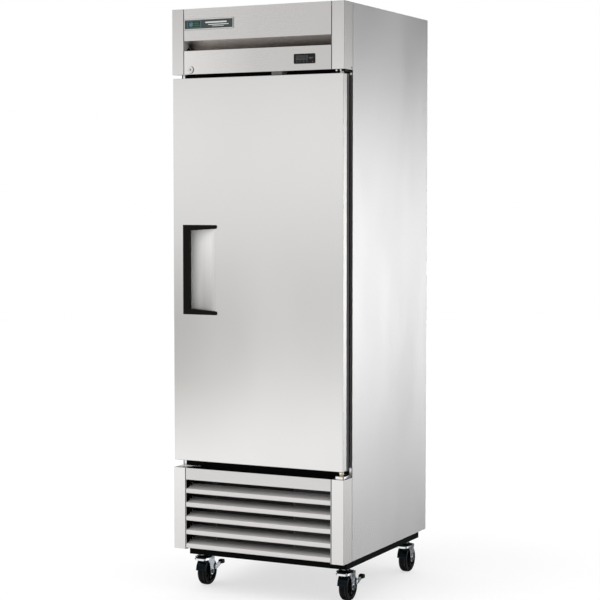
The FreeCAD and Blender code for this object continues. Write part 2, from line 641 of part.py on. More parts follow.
def make_fan_motors():
    """The two alike shaded-pole motors, each behind its fan on a bracket."""
    motors = []
    inside = "evaporator_front + fan_setback + hub_length + 2 * motor_gap"
    spots = {
        "evaporator": ("0", inside, "evaporator_fan_z"),
        "condenser": ("condenser_fan_x", "condenser_fan_y + hub_length + motor_gap", "condenser_fan_z"),
    }
    for key, (x, y, z) in spots.items():
        can = rod(f"{key}_can", "y", (x, z), "motor_radius", (y, f"{y} + motor_length"))
        arm_deep = (f"{y} + arm_place", f"{y} + arm_place + arm_thick")
        arm = box(f"{key}_arm", (f"{x} - arm_half", f"{x} + arm_half"), arm_deep,
                  (f"{z} - arm_wide", f"{z} + arm_wide"))
        motors.append(join(f"{key}_motor", [can, arm]))
    node(group("motors", motors), "fan_motors")


def make_evaporator():
    """Evaporator in the roof of the cavity: cover with its fan ring, coil and tube bends."""
    inner = "cover_gauge"
    shell = wide_box("cover_shell", "evaporator_half", ("evaporator_front", "evaporator_rear"),
                     ("evaporator_low", "cavity_high - cover_gap"))
    hollow = wide_box("cover_hollow", f"evaporator_half - {inner}",
                      (f"evaporator_front + {inner}", f"evaporator_rear - {inner}"),
                      (f"evaporator_low + {inner}", "cavity_high"))
    mouth = rod("cover_mouth", "y", ("0", "evaporator_fan_z"), "fan_radius + fan_ring",
                ("evaporator_front - past", "evaporator_front + past"))
    exits = []
    for level in range(EVAPORATOR_EXITS):
        low = f"evaporator_low + exit_first + {level} * exit_step"
        exits.append(wide_box("cover_exit", "exit_half",
                              ("evaporator_rear - past", "evaporator_rear + past"),
                              (low, f"{low} + exit_height")))
    node(cut("cover", shell, [hollow, mouth] + exits), "evaporator_cover")
    fins = wide_box("evaporator_fins", "fin_half", ("fin_front", "fin_rear"),
                    ("evaporator_low + fin_low", "cavity_high - fin_drop"))
    tubes = []
    for level in range(EVAPORATOR_TUBES):
        z = f"evaporator_low + tube_first + {level} * tube_step"
        tubes.append(rod("evaporator_tube", "x", ("(tube_front + tube_rear) / 2", z), "tube_radius",
                         ("-tube_end", "tube_end")))
        for x in ("-tube_end", "tube_end"):
            tubes.append(rod("evaporator_bend", "y", (x, z), "tube_radius", ("tube_front", "tube_rear")))
    node(join("evaporator", [fins] + tubes), "evaporator_coil")


def make_compressor():
    """Sealed compressor can on its foot plate and rubber mounts, with the relay box on its front."""
    r = "compressor_radius"
    x, y = "compressor_x", "compressor_y"
    can = turned("compressor_can",
                 [(f"{r} * {across}", f"compressor_height * {up}") for across, up in CAN_OUTLINE],
                 (x, y, "deck_top + foot_rise"))
    reach = f"({r} + foot_margin)"
    foot = box("compressor_foot", (f"{x} - {reach}", f"{x} + {reach}"),
               (f"{y} - {reach}", f"{y} + {reach}"),
               ("deck_top + foot_gap", "deck_top + foot_gap + foot_thick"))
    mounts = [rod("compressor_mount", "z", (f"{x} + {i} * mount_place", f"{y} + {j} * mount_place"),
                  "mount_radius", ("deck_top", "deck_top + foot_gap")) for i in (-1, 1) for j in (-1, 1)]
    relay = box("compressor_relay", (f"{x} - relay_half", f"{x} + relay_half"),
                (f"{y} - {r} - relay_reach", f"{y} - {r} * relay_root"),
                ("deck_top + relay_low", "deck_top + relay_high"))
    node(join("compressor_whole", [can, foot, relay] + mounts), "compressor")


def make_condenser():
    """Condenser coil behind the louver, and the baffles that make the air go through it."""
    wide = ("coil_left", "coil_right")
    deep = ("rail_front + coil_front", "rail_front + coil_rear")
    high = "base_top - coil_drop"
    fins = box("condenser_fins", wide, deep, ("deck_top + coil_rise", high))
    plinth = box("condenser_plinth", wide, deep, ("deck_top", "deck_top + coil_rise"))
    tubes = []
    for level in range(CONDENSER_TUBES):
        z = f"deck_top + coil_tube_first + {level} * coil_tube_step"
        tubes.append(rod("condenser_tube", "x", ("rail_front + coil_tube", z), "tube_radius",
                         ("coil_left - coil_tube_over", "coil_right + coil_tube_over")))
    thin = (deep[0], f"{deep[0]} + baffle_gauge")
    top = "base_top - baffle_drop"
    baffles = [
        box("baffle_left", ("-baffle_half", "coil_left - baffle_gap"), thin, ("deck_top", top)),
        box("baffle_right", ("coil_right + baffle_gap", "baffle_half"), thin, ("deck_top", top)),
        box("baffle_top", ("coil_left", "coil_right"), thin, (f"{high} + baffle_gap", top)),
    ]
    node(group("condenser_set", [join("condenser", [fins, plinth] + tubes)] + baffles), "condenser_coil")


def make_pan():
    """Open tray that catches the drain water and dries it."""
    wall = "tray_wall"
    tray = box("tray", ("tray_left", "tray_right"), ("tray_front", "tray_rear"),
               ("deck_top", "deck_top + tray_height"))
    hollow = box("tray_hollow", (f"tray_left + {wall}", f"tray_right - {wall}"),
                 (f"tray_front + {wall}", f"tray_rear - {wall}"),
                 (f"deck_top + {wall}", "deck_top + tray_height + past"))
    node(cut("pan", tray, [hollow]), "condensate_pan")


def make_lines():
    """Discharge line to the condenser and suction line up to the cabinet floor."""
    start = "deck_top + foot_rise + compressor_height + line_gap"
    away = "compressor_x + line_offset"
    near = "compressor_x - line_offset"
    discharge = pipe_run("discharge", [
        (away, "compressor_y", start),
        (away, "compressor_y", "deck_top + discharge_rise"),
        (away, "rail_front + discharge_y", "deck_top + discharge_rise"),
        ("coil_right + coil_tube_over + line_gap", "rail_front + discharge_y", "deck_top + discharge_rise")])
    suction = pipe_run("suction", [
        (near, "compressor_y", start),
        (near, "compressor_y", "deck_top + suction_rise"),
        (near, "suction_y", "deck_top + suction_rise"),
        (near, "suction_y", "roof_low - line_gap")])
    node(group("lines", [discharge, suction]), "refrigerant_lines")


def pipe_run(name, corners):
    """Copper tube along straight runs with a ball-turned elbow at each corner."""
    spots = [FreeCAD.Vector(*(number(c) for c in corner)) for corner in corners]
    radius = number("line_radius")
    tube = None
    for here, after in zip(spots, spots[1:]):
        run = Part.makeCylinder(radius, (after - here).Length, here, after - here)
        tube = run if tube is None else tube.fuse(run)
    for spot in spots[1:-1]:
        tube = tube.fuse(Part.makeSphere(radius, spot))
    feature = doc.addObject("Part::Feature", name)
    feature.Shape = tube.removeSplitter()
    return feature


# ---------------------------------------------------------------- interior fittings

def shelf_level(index):
    return f"shelf_low + {index} * shelf_step"


def make_pilasters():
    """Four slotted uprights and the clips that hold the shelves."""
    inner = "liner_half - liner_gauge"
    uprights = []
    clips = []
    for y in ("pilaster_front", "pilaster_rear"):
        bar = box("pilaster_bar", (f"{inner} - pilaster_depth", inner), (y, f"{y} + pilaster_width"),
                  ("opening_low + pilaster_end", "opening_high - pilaster_end"))
        slots = []
        for step in range(PILASTER_NOTCHES):
            low = f"opening_low + notch_first + {step} * notch_step"
            slots.append(box("pilaster_slot", (f"{inner} - pilaster_depth - past", f"{inner} - pilaster_web"),
                             (f"{y} + pilaster_margin", f"{y} + pilaster_width - pilaster_margin"),
                             (low, f"{low} + notch_height")))
        upright = cut("pilaster", bar, slots)
        uprights += [upright, mirrored("pilaster_left", upright)]
        for index in range(3):
            top = f"{shelf_level(index)} - clearance"
            face_x = f"{inner} - pilaster_depth"
            clip = box("clip", (f"{face_x} - clip_reach", face_x),
                       (f"{y} + clip_inset", f"{y} + pilaster_width - clip_inset"),
                       (f"{top} - clip_height", top))
            clips += [clip, mirrored("clip_left", clip)]
    node(group("uprights", uprights), "shelf_pilasters")
    node(group("clip_set", clips), "shelf_clips")


def make_shelf(index, label):
    """Welded wire shelf: rim, two cross wires under it and long wires from front to back."""
    low = shelf_level(index)
    mid = f"{low} + rim_radius"
    across = ("-shelf_half", "shelf_half")
    deep = ("shelf_front", "shelf_rear")
    wires = [
        rod("rim_front", "x", ("shelf_front + rim_radius", mid), "rim_radius", across),
        rod("rim_rear", "x", ("shelf_rear - rim_radius", mid), "rim_radius", across),
        rod("rim_left", "y", ("rim_radius - shelf_half", mid), "rim_radius", deep),
        rod("rim_right", "y", ("shelf_half - rim_radius", mid), "rim_radius", deep),
        rod("cross_front", "x", ("shelf_front + cross_inset", mid), "rim_radius", across),
        rod("cross_rear", "x", ("shelf_rear - cross_inset", mid), "rim_radius", across),
    ]
    for step in range(1, SHELF_WIRES + 1):
        x = f"-shelf_half + {step} * 2 * shelf_half / {SHELF_WIRES + 1}"
        wires.append(rod("wire", "y", (x, f"{low} + wire_lift"), "wire_radius",
                         ("shelf_front + wire_short", "shelf_rear - wire_short")))
    node(join(label + "_wires", wires), label)


def make_light():
    """Lamp holder on the brow of the cavity, with its lens."""
    behind = "wall_front + throat_depth"
    base = wide_box("light_base", "light_half", (f"{behind} + light_gap", f"{behind} + light_base"),
                    ("opening_high + light_low", "opening_high + light_high"))
    lens = wide_box("light_lens", "lens_half", (f"{behind} + light_base", f"{behind} + lens_depth"),
                    ("opening_high + lens_low", "opening_high + lens_high"))
    node(join("light", [base, lens]), "interior_light")


# ---------------------------------------------------------------- door

def recess_outline(grow):
    """Top view of the handle recess, grown by a thickness: flat bottom, then a slope out to the right."""
    mouth = f"door_front - mouth_lead * (1 - {grow})"
    floor = f"door_front + recess_depth + {grow}"
    left = f"recess_left - {grow}"
    right = f"recess_right + slope_shift * {grow}"
    return [(left, mouth), (left, floor), (f"recess_left + recess_flat + bottom_shift * {grow}", floor),
            (right, f"door_front + mouth_shift * {grow}"), (right, mouth)]


def hinge_bore(name, radius, span):
    return rod(name, "z", ("hinge_x", "hinge_y"), radius, span)


def make_door_skin():
    """Stainless pan with returned edges and the pressed handle recess, slotted for the lock cam."""
    block = wide_box("skin_block", "door_half", ("door_front", "skin_rear"), ("door_low", "door_high"))
    front_y = number("door_front")
    tray = rounded("skin_tray", block, "skin_fold",
                   lambda e: runs_along(e, "y") or abs(e.CenterOfMass.y - front_y) < CLOSE)
    hollow = wide_box("skin_hollow", "door_half - skin_gauge",
                      ("door_front + skin_gauge", "skin_rear + past"),
                      ("door_low + skin_gauge", "door_high - skin_gauge"))
    window = box("skin_window", ("recess_left", "recess_right"),
                 ("door_front - past", "door_front + skin_gauge - sliver"), ("recess_low", "recess_high"))
    pan = prism("recess_pan", "XY_Plane", recess_outline("skin_gauge"),
                ("recess_low - skin_gauge", "recess_high + skin_gauge"))
    pan_hollow = prism("recess_hollow", "XY_Plane", recess_outline("0"), ("recess_low", "recess_high"))
    keeper = box("skin_keeper", ("lock_x - cam_half - keeper_gap", "lock_x + cam_length - keeper_short"),
                 ("lock_back - keeper_gap", "lock_back + cam_thick + keeper_gap"),
                 ("door_high - past", "door_high + past"))
    low_bore = hinge_bore("skin_low_bore", "bushing_radius + clearance",
                          ("door_low - past", "door_low + past"))
    high_bore = hinge_bore("skin_high_bore", "bushing_radius + clearance",
                           ("door_high - past", "door_high + past"))
    shell = cut("skin_shell", tray, [hollow, window])
    recess = cut("skin_recess", pan, [pan_hollow])
    whole = join("skin_whole", [shell, recess])
    node(cut("skin", whole, [pan_hollow, keeper, low_bore, high_bore]), "door_skin")


def bored(name, slab):
    """Slab with room for the two hinge bushings."""
    span = {"low": ("door_low - past", "door_low + bushing_length + past"),
            "high": ("door_high - bushing_length - past", "door_high + past")}
    return cut(name, slab, [hinge_bore(f"{name}_{key}", "bushing_radius + clearance", ends)
                            for key, ends in span.items()])


def make_door_core():
    """Foam filling of the door, laid around the handle recess and the lock keeper."""
    gap = "skin_gauge + clearance"
    deep = (f"door_front + {gap}", "core_rear")
    edge_deep = (f"door_front + {gap}", "skin_rear")
    left = f"recess_left - ({gap})"
    right = f"recess_right + slope_room * ({gap})"
    floor = f"door_front + recess_depth + {gap}"
    recess_tall = (f"recess_low - ({gap})", f"recess_high + {gap}")
    outer = f"door_half - ({gap})"
    low = f"door_low + {gap}"
    high = f"door_high - ({gap})"
    behind = prism("core_behind", "XY_Plane",
                   [(left, floor), (f"recess_left + recess_flat + {gap}", floor),
                    (right, f"door_front + {gap}"), (right, "core_rear"), (left, "core_rear")], recess_tall)
    right_slab = box("core_right", (right, "core_half"), deep, ("core_low", "core_high"))
    right_edge = box("core_right_edge", ("core_half", outer), edge_deep, (low, high))
    low_edge = wide_box("core_low_edge", "core_half", edge_deep, (low, "core_low"))
    high_edge = box("core_high_edge", ("lock_x + cam_length + cam_room", "core_half"), edge_deep,
                    ("core_high", high))
    node(group("core", [
        behind,
        box("core_left", ("-core_half", left), deep, ("core_low", "core_high")),
        box("core_below", (left, right), deep, ("core_low", recess_tall[0])),
        box("core_above", (left, right), deep, (recess_tall[1], "core_high")),
        bored("core_right_bored", right_slab),
        box("core_left_edge", (f"-({outer})", "-core_half"), edge_deep, (low, high)),
        bored("core_right_edge_bored", right_edge),
        bored("core_low_edge_bored", low_edge),
        bored("core_high_edge_bored", high_edge),
        box("core_high_corner", ("-core_half", "lock_x - cam_half - cam_room"), edge_deep,
            ("core_high", high)),
    ]), "door_core")


def make_door_trim():
    """Dark plastic edge trim behind the skin, one bar a side."""
    deep = ("skin_rear", "core_rear")
    gap = "clearance"
    bars = [
        box("trim_left", ("-door_half", f"-core_half - {gap}"), deep, ("door_low", "door_high")),
        box("trim_right", (f"core_half + {gap}", "door_half"), deep, ("door_low", "door_high")),
        wide_box("trim_low", f"core_half + {gap}", deep, ("door_low", f"core_low - {gap}")),
        wide_box("trim_high", f"core_half + {gap}", deep, (f"core_high + {gap}", "door_high")),
    ]
    node(group("trim", bars), "door_trim")


def make_door_liner():
    """Inner face of the door, a shallow raised tray inside the gasket."""
    half = "door_half - door_liner_inset"
    tray = wide_box("door_tray", half, ("core_rear", "core_rear + door_liner_gauge"),
                    ("door_low + door_liner_inset", "door_high - door_liner_inset"))
    rear_y = number("core_rear + door_liner_gauge")
    soft = rounded("door_tray_soft", tray, "door_liner_round",
                   lambda e: abs(e.CenterOfMass.y - rear_y) < CLOSE)
    node(soft, "door_liner")


def make_gasket():
    """One-piece magnetic gasket on the back of the door."""
    deep = ("core_rear", "gasket_rear")
    outer = wide_box("gasket_outer", "gasket_half", deep,
                     ("door_low + gasket_inset", "door_high - gasket_inset"))
    band = "gasket_inset + gasket_width"
    inner = wide_box("gasket_inner", "gasket_half - gasket_width", ("core_rear - past", "gasket_rear + past"),
                     (f"door_low + {band}", f"door_high - ({band})"))
    rear_y = number("gasket_rear")
    soft = rounded("gasket_soft", outer, "gasket_round", lambda e: abs(e.CenterOfMass.y - rear_y) < CLOSE)
    node(cut("gasket", soft, [inner]), "door_gasket")


def make_handle():
    """Moulded handle: upright grip over the recess and an arm along its top and bottom."""
    low = "recess_low - handle_rim"
    high = "recess_high + handle_rim"
    inner = "handle_left + grip_width"
    grip = box("grip", ("handle_left", inner), ("front", "panel_front"), (low, high))
    front_y = number("front")
    soft = rounded("grip_soft", grip, "grip_round", lambda e: runs_along(e, "z") and
                   abs(e.CenterOfMass.y - front_y) < CLOSE)
    bar = box("grip_bar", ("recess_left + arm_clearance", inner), ("panel_front", "front + grip_depth"),
              ("recess_low + arm_clearance", "recess_high - arm_clearance"))
    well = prism("handle_well", "XY_Plane",
                 [("recess_left + arm_clearance", "door_front"),
                  ("recess_left + arm_clearance", "door_front + recess_depth - arm_clearance"),
                  ("recess_left + recess_flat - arm_clearance", "door_front + recess_depth - arm_clearance"),
                  ("recess_right - slope_room * arm_clearance", "door_front")],
                 ("recess_low + arm_clearance", "recess_high - arm_clearance"))
    pieces = [soft, bar]
    start = "handle_left + arm_start"
    for key, edge, sign in (("low", low, "+"), ("high", high, "-")):
        points = [(start, edge), ("handle_right", edge), ("handle_right", f"{edge} {sign} arm_tip"),
                  (inner, f"{edge} {sign} arm_root"), (start, f"{edge} {sign} arm_root")]
        face_arm = prism(f"arm_{key}", "XZ_Plane", points, ("front", "panel_front"))
        tip_x = number("handle_right")
        rounded_arm = rounded(f"arm_{key}_soft", face_arm, "arm_round", lambda e: runs_along(e, "y") and
                              abs(e.CenterOfMass.x - tip_x) < CLOSE)
        wall = prism(f"arm_{key}_wall", "XZ_Plane", points, ("panel_front", "panel_front + recess_depth"))
        pieces += [rounded_arm, common(f"arm_{key}_inside", wall, well)]
    node(join("handle", pieces), "door_handle")


# ---------------------------------------------------------------- hinges

def make_hinges():
    """Brackets on the cabinet with their pins, the blank plate at the unused side, and the door bushings."""
    low = ("base_top", "base_top + bracket_thick")
    high = ("header_low - top_bracket_thick", "header_low")
    span = ("bracket_left", "side - proud / 2")
    deep = ("panel_front + proud / 2", "face - clearance")
    front_y = number(deep[0])
    brackets = []
    for key, tall, pin, collar in (
            ("low", low, (low[1], "door_low + pin_reach"), (low[1], "bushing_low - clearance")),
            ("high", high, ("door_high - pin_reach", high[0]), ("bushing_high + clearance", high[0]))):
        plate = box(f"bracket_{key}", span, deep, tall)
        soft = rounded(f"bracket_{key}_soft", plate, "bracket_round", lambda e: runs_along(e, "z") and
                       abs(e.CenterOfMass.y - front_y) < CLOSE)
        pin_rod = hinge_bore(f"pin_{key}", "pin_radius", pin)
        pin_collar = hinge_bore(f"collar_{key}", "pin_radius + pin_collar", collar)
        brackets.append(join(f"hinge_{key}", [soft, pin_rod, pin_collar]))
    blank_deep = ("face - clearance - blank_depth", "face - clearance")
    brackets.append(box("blank", ("blank_left", "blank_right"), blank_deep,
                        ("base_top", "base_top + blank_thick")))
    node(group("brackets", brackets), "hinge_brackets")
    bushings = []
    for key, span in (("low", ("bushing_low", "bushing_low + bushing_length")),
                      ("high", ("bushing_high - bushing_length", "bushing_high"))):
        ring = hinge_bore(f"bushing_{key}_ring", "bushing_radius", span)
        bore = hinge_bore(f"bushing_{key}_bore", "pin_radius + running_gap",
                          (f"{span[0]} - past", f"{span[1]} + past"))
        bushings.append(cut(f"bushing_{key}", ring, [bore]))
    node(group("bushings", bushings), "door_hinge_bushings")


# ---------------------------------------------------------------- casters

CASTERS = {
    "front_left": ("-caster_x", "caster_front"),
    "front_right": ("caster_x", "caster_front"),
    "rear_left": ("-caster_x", "caster_rear"),
    "rear_right": ("caster_x", "caster_rear"),
}


def make_stems():
    """Fixed part of each caster: threaded stem, its collar under the rail and the riveted lower end."""
    stems = []
    for key, (x, y) in CASTERS.items():
        stem = rod("stem", "z", (x, y), "stem_radius", ("rivet_low", "stem_top"))
        collar = rod("stem_collar", "z", (x, y), "collar_radius", ("collar_low", "caster_height"))
        rivet = rod("stem_rivet", "z", (x, y), "rivet_radius", ("rivet_low", "crown_low - washer_gap"))
        nut = rod("stem_nut", "z", (x, y), "stem_nut",
                  ("caster_height + rail_wall", "caster_height + stem_nut_rise"))
        stems.append(join(f"stem_{key}", [stem, collar, rivet, nut]))
    node(group("stems", stems), "caster_stems")


def make_bolt(key, x, spot):
    """Axle bolt through the fork legs, with its head and its nut."""
    outer = "fork_half"
    return join(f"bolt_{key}", [
        rod(f"bolt_{key}_shank", "x", spot, "axle_radius",
            (f"{x} - {outer} - bolt_nut_thick", f"{x} + {outer} + washer_gap")),
        rod(f"bolt_{key}_head", "x", spot, "bolt_head",
            (f"{x} + {outer} + washer_gap", f"{x} + {outer} + bolt_head_thick")),
        rod(f"bolt_{key}_nut", "x", spot, "bolt_head",
            (f"{x} - {outer} - bolt_nut_thick", f"{x} - {outer} - washer_gap"))])


def make_fork(key, x, y):
    """Pressed fork with its bearing cup, and the axle bolt that rides in it."""
    axle_y = f"{y} + trail"
    toe_high = "wheel_radius - fork_toe_rise"
    toe_low = "wheel_radius - fork_toe_drop"
    points = [(f"{y} - fork_front", "crown_top"), (f"{y} + fork_back", "crown_top"),
              (f"{y} + fork_back", "crown_top - fork_back_drop"), (f"{axle_y} + fork_toe", toe_high),
              (f"{axle_y} + fork_toe_half", toe_low), (f"{axle_y} - fork_toe_half", toe_low),
              (f"{axle_y} - fork_toe", toe_high), (f"{y} - fork_front", "crown_top - fork_front_drop")]
    shape = prism(f"fork_{key}", "YZ_Plane", points, (f"{x} - fork_half", f"{x} + fork_half"))
    soft = rounded(f"fork_{key}_soft", shape, "fork_round", lambda e: runs_along(e, "z") or
                   (runs_along(e, "x") and e.CenterOfMass.z < number("wheel_radius")))
    hollow = box(f"fork_{key}_hollow", (f"{x} - fork_gap", f"{x} + fork_gap"),
                 (f"{y} - fork_front - past", f"{y} + fork_back + past"), ("0", "crown_low"))
    cup = rod(f"cup_{key}", "z", (x, y), "cup_radius", ("(crown_low + crown_top) / 2", "cup_top"))
    bore = rod(f"cup_{key}_bore", "z", (x, y), "stem_radius + running_gap",
               ("crown_low - past", "cup_top + past"))
    spot = (axle_y, "wheel_radius")
    hole = rod(f"axle_hole_{key}", "x", spot, "axle_radius + axle_gap",
               (f"{x} - fork_half - past", f"{x} + fork_half + past"))
    fork = cut(f"fork_{key}_whole", join(f"fork_{key}_cup", [cut(f"fork_{key}_legs", soft, [hollow]), cup]),
               [bore, hole])
    node(group(f"fork_{key}_set", [fork, make_bolt(key, x, spot)]), f"caster_fork_{key}")


def make_wheel(key, x, y):
    """Moulded wheel with a raised rim and hub, bored for the axle bolt."""
    bore = "axle_radius + axle_gap"
    half = {"hub": "wheel_half + hub_proud", "web": "web_half", "rim": "wheel_half",
            "tread": "wheel_half - rim_chamfer"}
    right_side = [(bore, half["hub"]), ("hub_boss", half["hub"]), ("hub_boss", half["web"]),
                  ("wheel_radius - rim_step", half["web"]), ("wheel_radius - rim_width", half["rim"]),
                  ("wheel_radius - rim_chamfer", half["rim"]), ("wheel_radius", half["tread"])]
    left_side = [(radius, f"-({place})") for radius, place in reversed(right_side)]
    node(turned(f"wheel_{key}", right_side + left_side, (x, f"{y} + trail", "wheel_radius"), AXIS_TURNS["x"]),
         f"caster_wheel_{key}")


def make_pedal(key, x, y):
    """Side brake: steel arm beside the fork leg with a moulded toe pad."""
    axle_y = f"{y} + trail"
    inner = f"{x} + pedal_offset"
    arm = prism(f"pedal_{key}_arm", "YZ_Plane",
                [(f"{axle_y} + pedal_heel", "pedal_waist"), (f"{axle_y} + pedal_root", "pedal_low"),
                 (f"{axle_y} + pedal_reach", "pedal_tip_low"), (f"{axle_y} + pedal_reach", "pedal_tip_high"),
                 (f"{axle_y} + pedal_root", "pedal_high")],
                (inner, f"{inner} + pedal_thick"))
    pad = box(f"pedal_{key}_pad", (f"{inner} - pad_inner", f"{inner} + pad_outer"),
              (f"{axle_y} + pad_start", f"{axle_y} + pad_end"), ("pad_low", "pad_high"))
    soft = rounded(f"pedal_{key}_pad_soft", pad, "pad_round", lambda e: runs_along(e, "x"))
    node(join(f"pedal_{key}", [arm, soft]), f"brake_pedal_{key}")


# ---------------------------------------------------------------- build, check and write

def make_everything():
    make_side_panels()
    make_rear()
    make_top()
    make_foam()
    make_liner()
    make_face_frame()
    make_posts()
    make_header_panel()
    make_badge()
    make_controller()
    make_lock()
    make_switch()
    make_louver()
    make_base_frame()
    make_compartment()
    make_fan("evaporator_fan", ("0", "evaporator_front + fan_setback", "evaporator_fan_z"), "fan_radius")
    make_fan("condenser_fan", ("condenser_fan_x", "condenser_fan_y", "condenser_fan_z"),
             "fan_radius + fan_extra")
    make_fan_motors()
    make_evaporator()
    make_compressor()
    make_condenser()
    make_pan()
    make_lines()
    make_pilasters()
    for index, label in enumerate(("shelf_lower", "shelf_middle", "shelf_upper")):
        make_shelf(index, label)
    make_light()
    make_door_skin()
    make_door_core()
    make_door_trim()
    make_door_liner()
    make_gasket()
    make_handle()
    make_hinges()
    make_stems()
    for key, (x, y) in CASTERS.items():
        make_fork(key, x, y)
        make_wheel(key, x, y)
        if key.startswith("front"):
            make_pedal(key, x, y)


def check_everything():
    """Stop on any failed object or bad shape."""
    for thing in doc.Objects:
        if "Invalid" in thing.State or "Error" in thing.State:
            raise RuntimeError(f"{thing.Name} failed: {thing.State}")
    for thing in nodes:
        if thing.Shape.isNull() or not thing.Shape.isValid():
            raise RuntimeError(f"{thing.Label} has a bad shape")


sizes = make_size_sheet()
make_everything()
doc.recompute()
check_everything()
os.makedirs("parts", exist_ok=True)
for finished in nodes:
    finished.Shape.exportStep(f"parts/{finished.Label}.step")
print(f"{len(nodes)} nodes written")
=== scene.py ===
import math

import bmesh
import bpy
from mathutils import Matrix, Vector


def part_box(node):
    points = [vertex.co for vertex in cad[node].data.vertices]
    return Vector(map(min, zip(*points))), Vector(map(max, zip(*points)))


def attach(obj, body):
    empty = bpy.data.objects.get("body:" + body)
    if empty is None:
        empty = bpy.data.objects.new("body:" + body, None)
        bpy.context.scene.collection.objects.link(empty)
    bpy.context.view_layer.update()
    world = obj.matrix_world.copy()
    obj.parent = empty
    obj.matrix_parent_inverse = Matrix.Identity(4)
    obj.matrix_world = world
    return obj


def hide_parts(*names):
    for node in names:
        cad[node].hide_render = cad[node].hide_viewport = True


# Looks of a single-door reach-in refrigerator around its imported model. Metres, +Z up, the door faces -Y.
# New pieces are drawn in millimetres and brought to metres as they are added.

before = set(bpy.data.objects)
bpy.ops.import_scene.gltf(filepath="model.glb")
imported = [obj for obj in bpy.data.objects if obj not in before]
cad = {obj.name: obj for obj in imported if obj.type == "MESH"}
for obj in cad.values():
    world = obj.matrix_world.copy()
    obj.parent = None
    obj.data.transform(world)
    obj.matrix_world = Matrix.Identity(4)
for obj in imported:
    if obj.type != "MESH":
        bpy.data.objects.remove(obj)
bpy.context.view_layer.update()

MM = 0.001

# Corners of turned forms, of small ones, of wire and of wheels
ROUND = 48
FINE = 20
WIRE_ROUND = 10
WHEEL_ROUND = 72

# Camera: where it stands, where it looks and its lens on a 36 mm sensor
CAMERA_PLACE = (2.8494, -5.7315, 1.4342)
CAMERA_YAW = math.radians(26.547)
CAMERA_PITCH = math.radians(-3.344)
CAMERA_LENS = 102.706


# ---------------------------------------------------------------- node helpers

class Nodes:
    """Short calls for building a node tree. A value is a number, a colour or an output of another node."""

    def __init__(self, tree):
        self.tree = tree

    def put(self, socket, value):
        """Link an output to a socket, or set the socket's own number, vector or colour."""
        if isinstance(value, bpy.types.NodeSocket):
            self.tree.links.new(value, socket)
        elif socket.type == "RGBA":
            socket.default_value = (*value, 1)
        else:
            socket.default_value = value

    def add(self, kind, inputs, **settings):
        node = self.tree.nodes.new("ShaderNode" + kind)
        for name, value in settings.items():
            setattr(node, name, value)
        for socket, value in inputs.items():
            self.put(node.inputs[socket], value)
        return node

    def span(self, value, low, high, start=0.3, end=0.7):
        """Number that goes from low to high as value goes from start to end."""
        limits = {"From Min": start, "From Max": end, "To Min": low, "To Max": high}
        return self.add("MapRange", {"Value": value, **limits}).outputs["Result"]

    def math(self, operation, first, second=0):
        return self.add("Math", {0: first, 1: second}, operation=operation).outputs["Value"]

    def mix(self, factor, first, second):
        """Blend of two colours by a factor."""
        return self.add("Mix", {0: factor, 6: first, 7: second}, data_type="RGBA").outputs[2]


class Finish(Nodes):
    """A material under construction: one principled shader and short calls for what feeds it."""

    def __init__(self, name, colour, roughness, metallic=0.0):
        self.material = bpy.data.materials.new(name)
        self.material.use_nodes = True
        super().__init__(self.material.node_tree)
        self.shader = self.tree.nodes["Principled BSDF"]
        self.set("Base Color", colour)
        self.set("Roughness", roughness)
        self.set("Metallic", metallic)
        self.place = self.add("TexCoord", {}).outputs["Object"]

    def set(self, socket, value):
        self.put(self.shader.inputs[socket], value)

    def along(self, axis):
        """Position along one axis of the piece, in metres."""
        return self.add("SeparateXYZ", {"Vector": self.place}).outputs[axis]

    def stretched(self, stretch):
        """Position with its scale multiplied along each axis."""
        return self.add("Mapping", {"Vector": self.place, "Scale": stretch}).outputs["Vector"]

    def noise(self, scale, detail=3.0, stretch=(1, 1, 1), rough=0.55):
        settings = {"Scale": scale, "Detail": detail, "Roughness": rough}
        return self.add("TexNoise", {"Vector": self.stretched(stretch), **settings}).outputs["Fac"]

    def cells(self, scale):
        return self.add("TexVoronoi", {"Vector": self.place, "Scale": scale}).outputs["Color"]

    def ramp(self, value, low, high, start=0.3, end=0.7):
        """Colour that goes from low to high as value goes from start to end."""
        ramp = self.add("ValToRGB", {"Fac": value})
        for element, spot, colour in zip(ramp.color_ramp.elements, (start, end), (low, high)):
            element.position = spot
            element.color = (*colour, 1)
        return ramp.outputs["Color"]

    def tint(self, value, colour, dark, light, start=0.3, end=0.7):
        """Ramp between a darker and a lighter shade of one colour."""
        return self.ramp(value, shade(colour, dark), shade(colour, light), start, end)

    def both(self, first, second):
        return self.math("MULTIPLY", first, second)

    def bump(self, height, strength, distance=0.0003):
        node = self.add("Bump", {"Strength": strength, "Distance": distance, "Height": height})
        self.set("Normal", node.outputs["Normal"])

    def done(self, colour, roughness):
        """Set what feeds the colour and the roughness; the material is then complete."""
        self.set("Base Color", colour)
        self.set("Roughness", roughness)
        return self.material


def shade(colour, factor):
    return tuple(channel * factor for channel in colour)


# ---------------------------------------------------------------- steel

STEEL = (0.80, 0.792, 0.782)
# Brush lines run along one axis: scale of the lines and of the broad smears along each axis
LINES = {"X": (1, 60, 60), "Z": (60, 60, 1)}
SMEARS = {"X": (0.35, 1, 1), "Z": (1, 1, 0.35)}
QUARTER_TURN = 0.25

# Places on the steel, in metres, where light and shade are painted: the black dot over the small hole in the
# side of each header post, with the outer face of the post; the grip pocket, by depth and half width; the
# groove of the header and rear of the slats, by depth
HOLE_DEPTH, HOLE_HEIGHT, HOLE_SHADE_RADIUS, POST_SIDE = -0.313, 1.892, 0.0032, 0.3425
POCKET_DEPTH = (-0.3735, -0.366)
POCKET_HALF = (0.33, 0.335)
GROOVE_DEPTH = (-0.374, -0.318)
SLAT_DEPTH = (-0.350, -0.322)


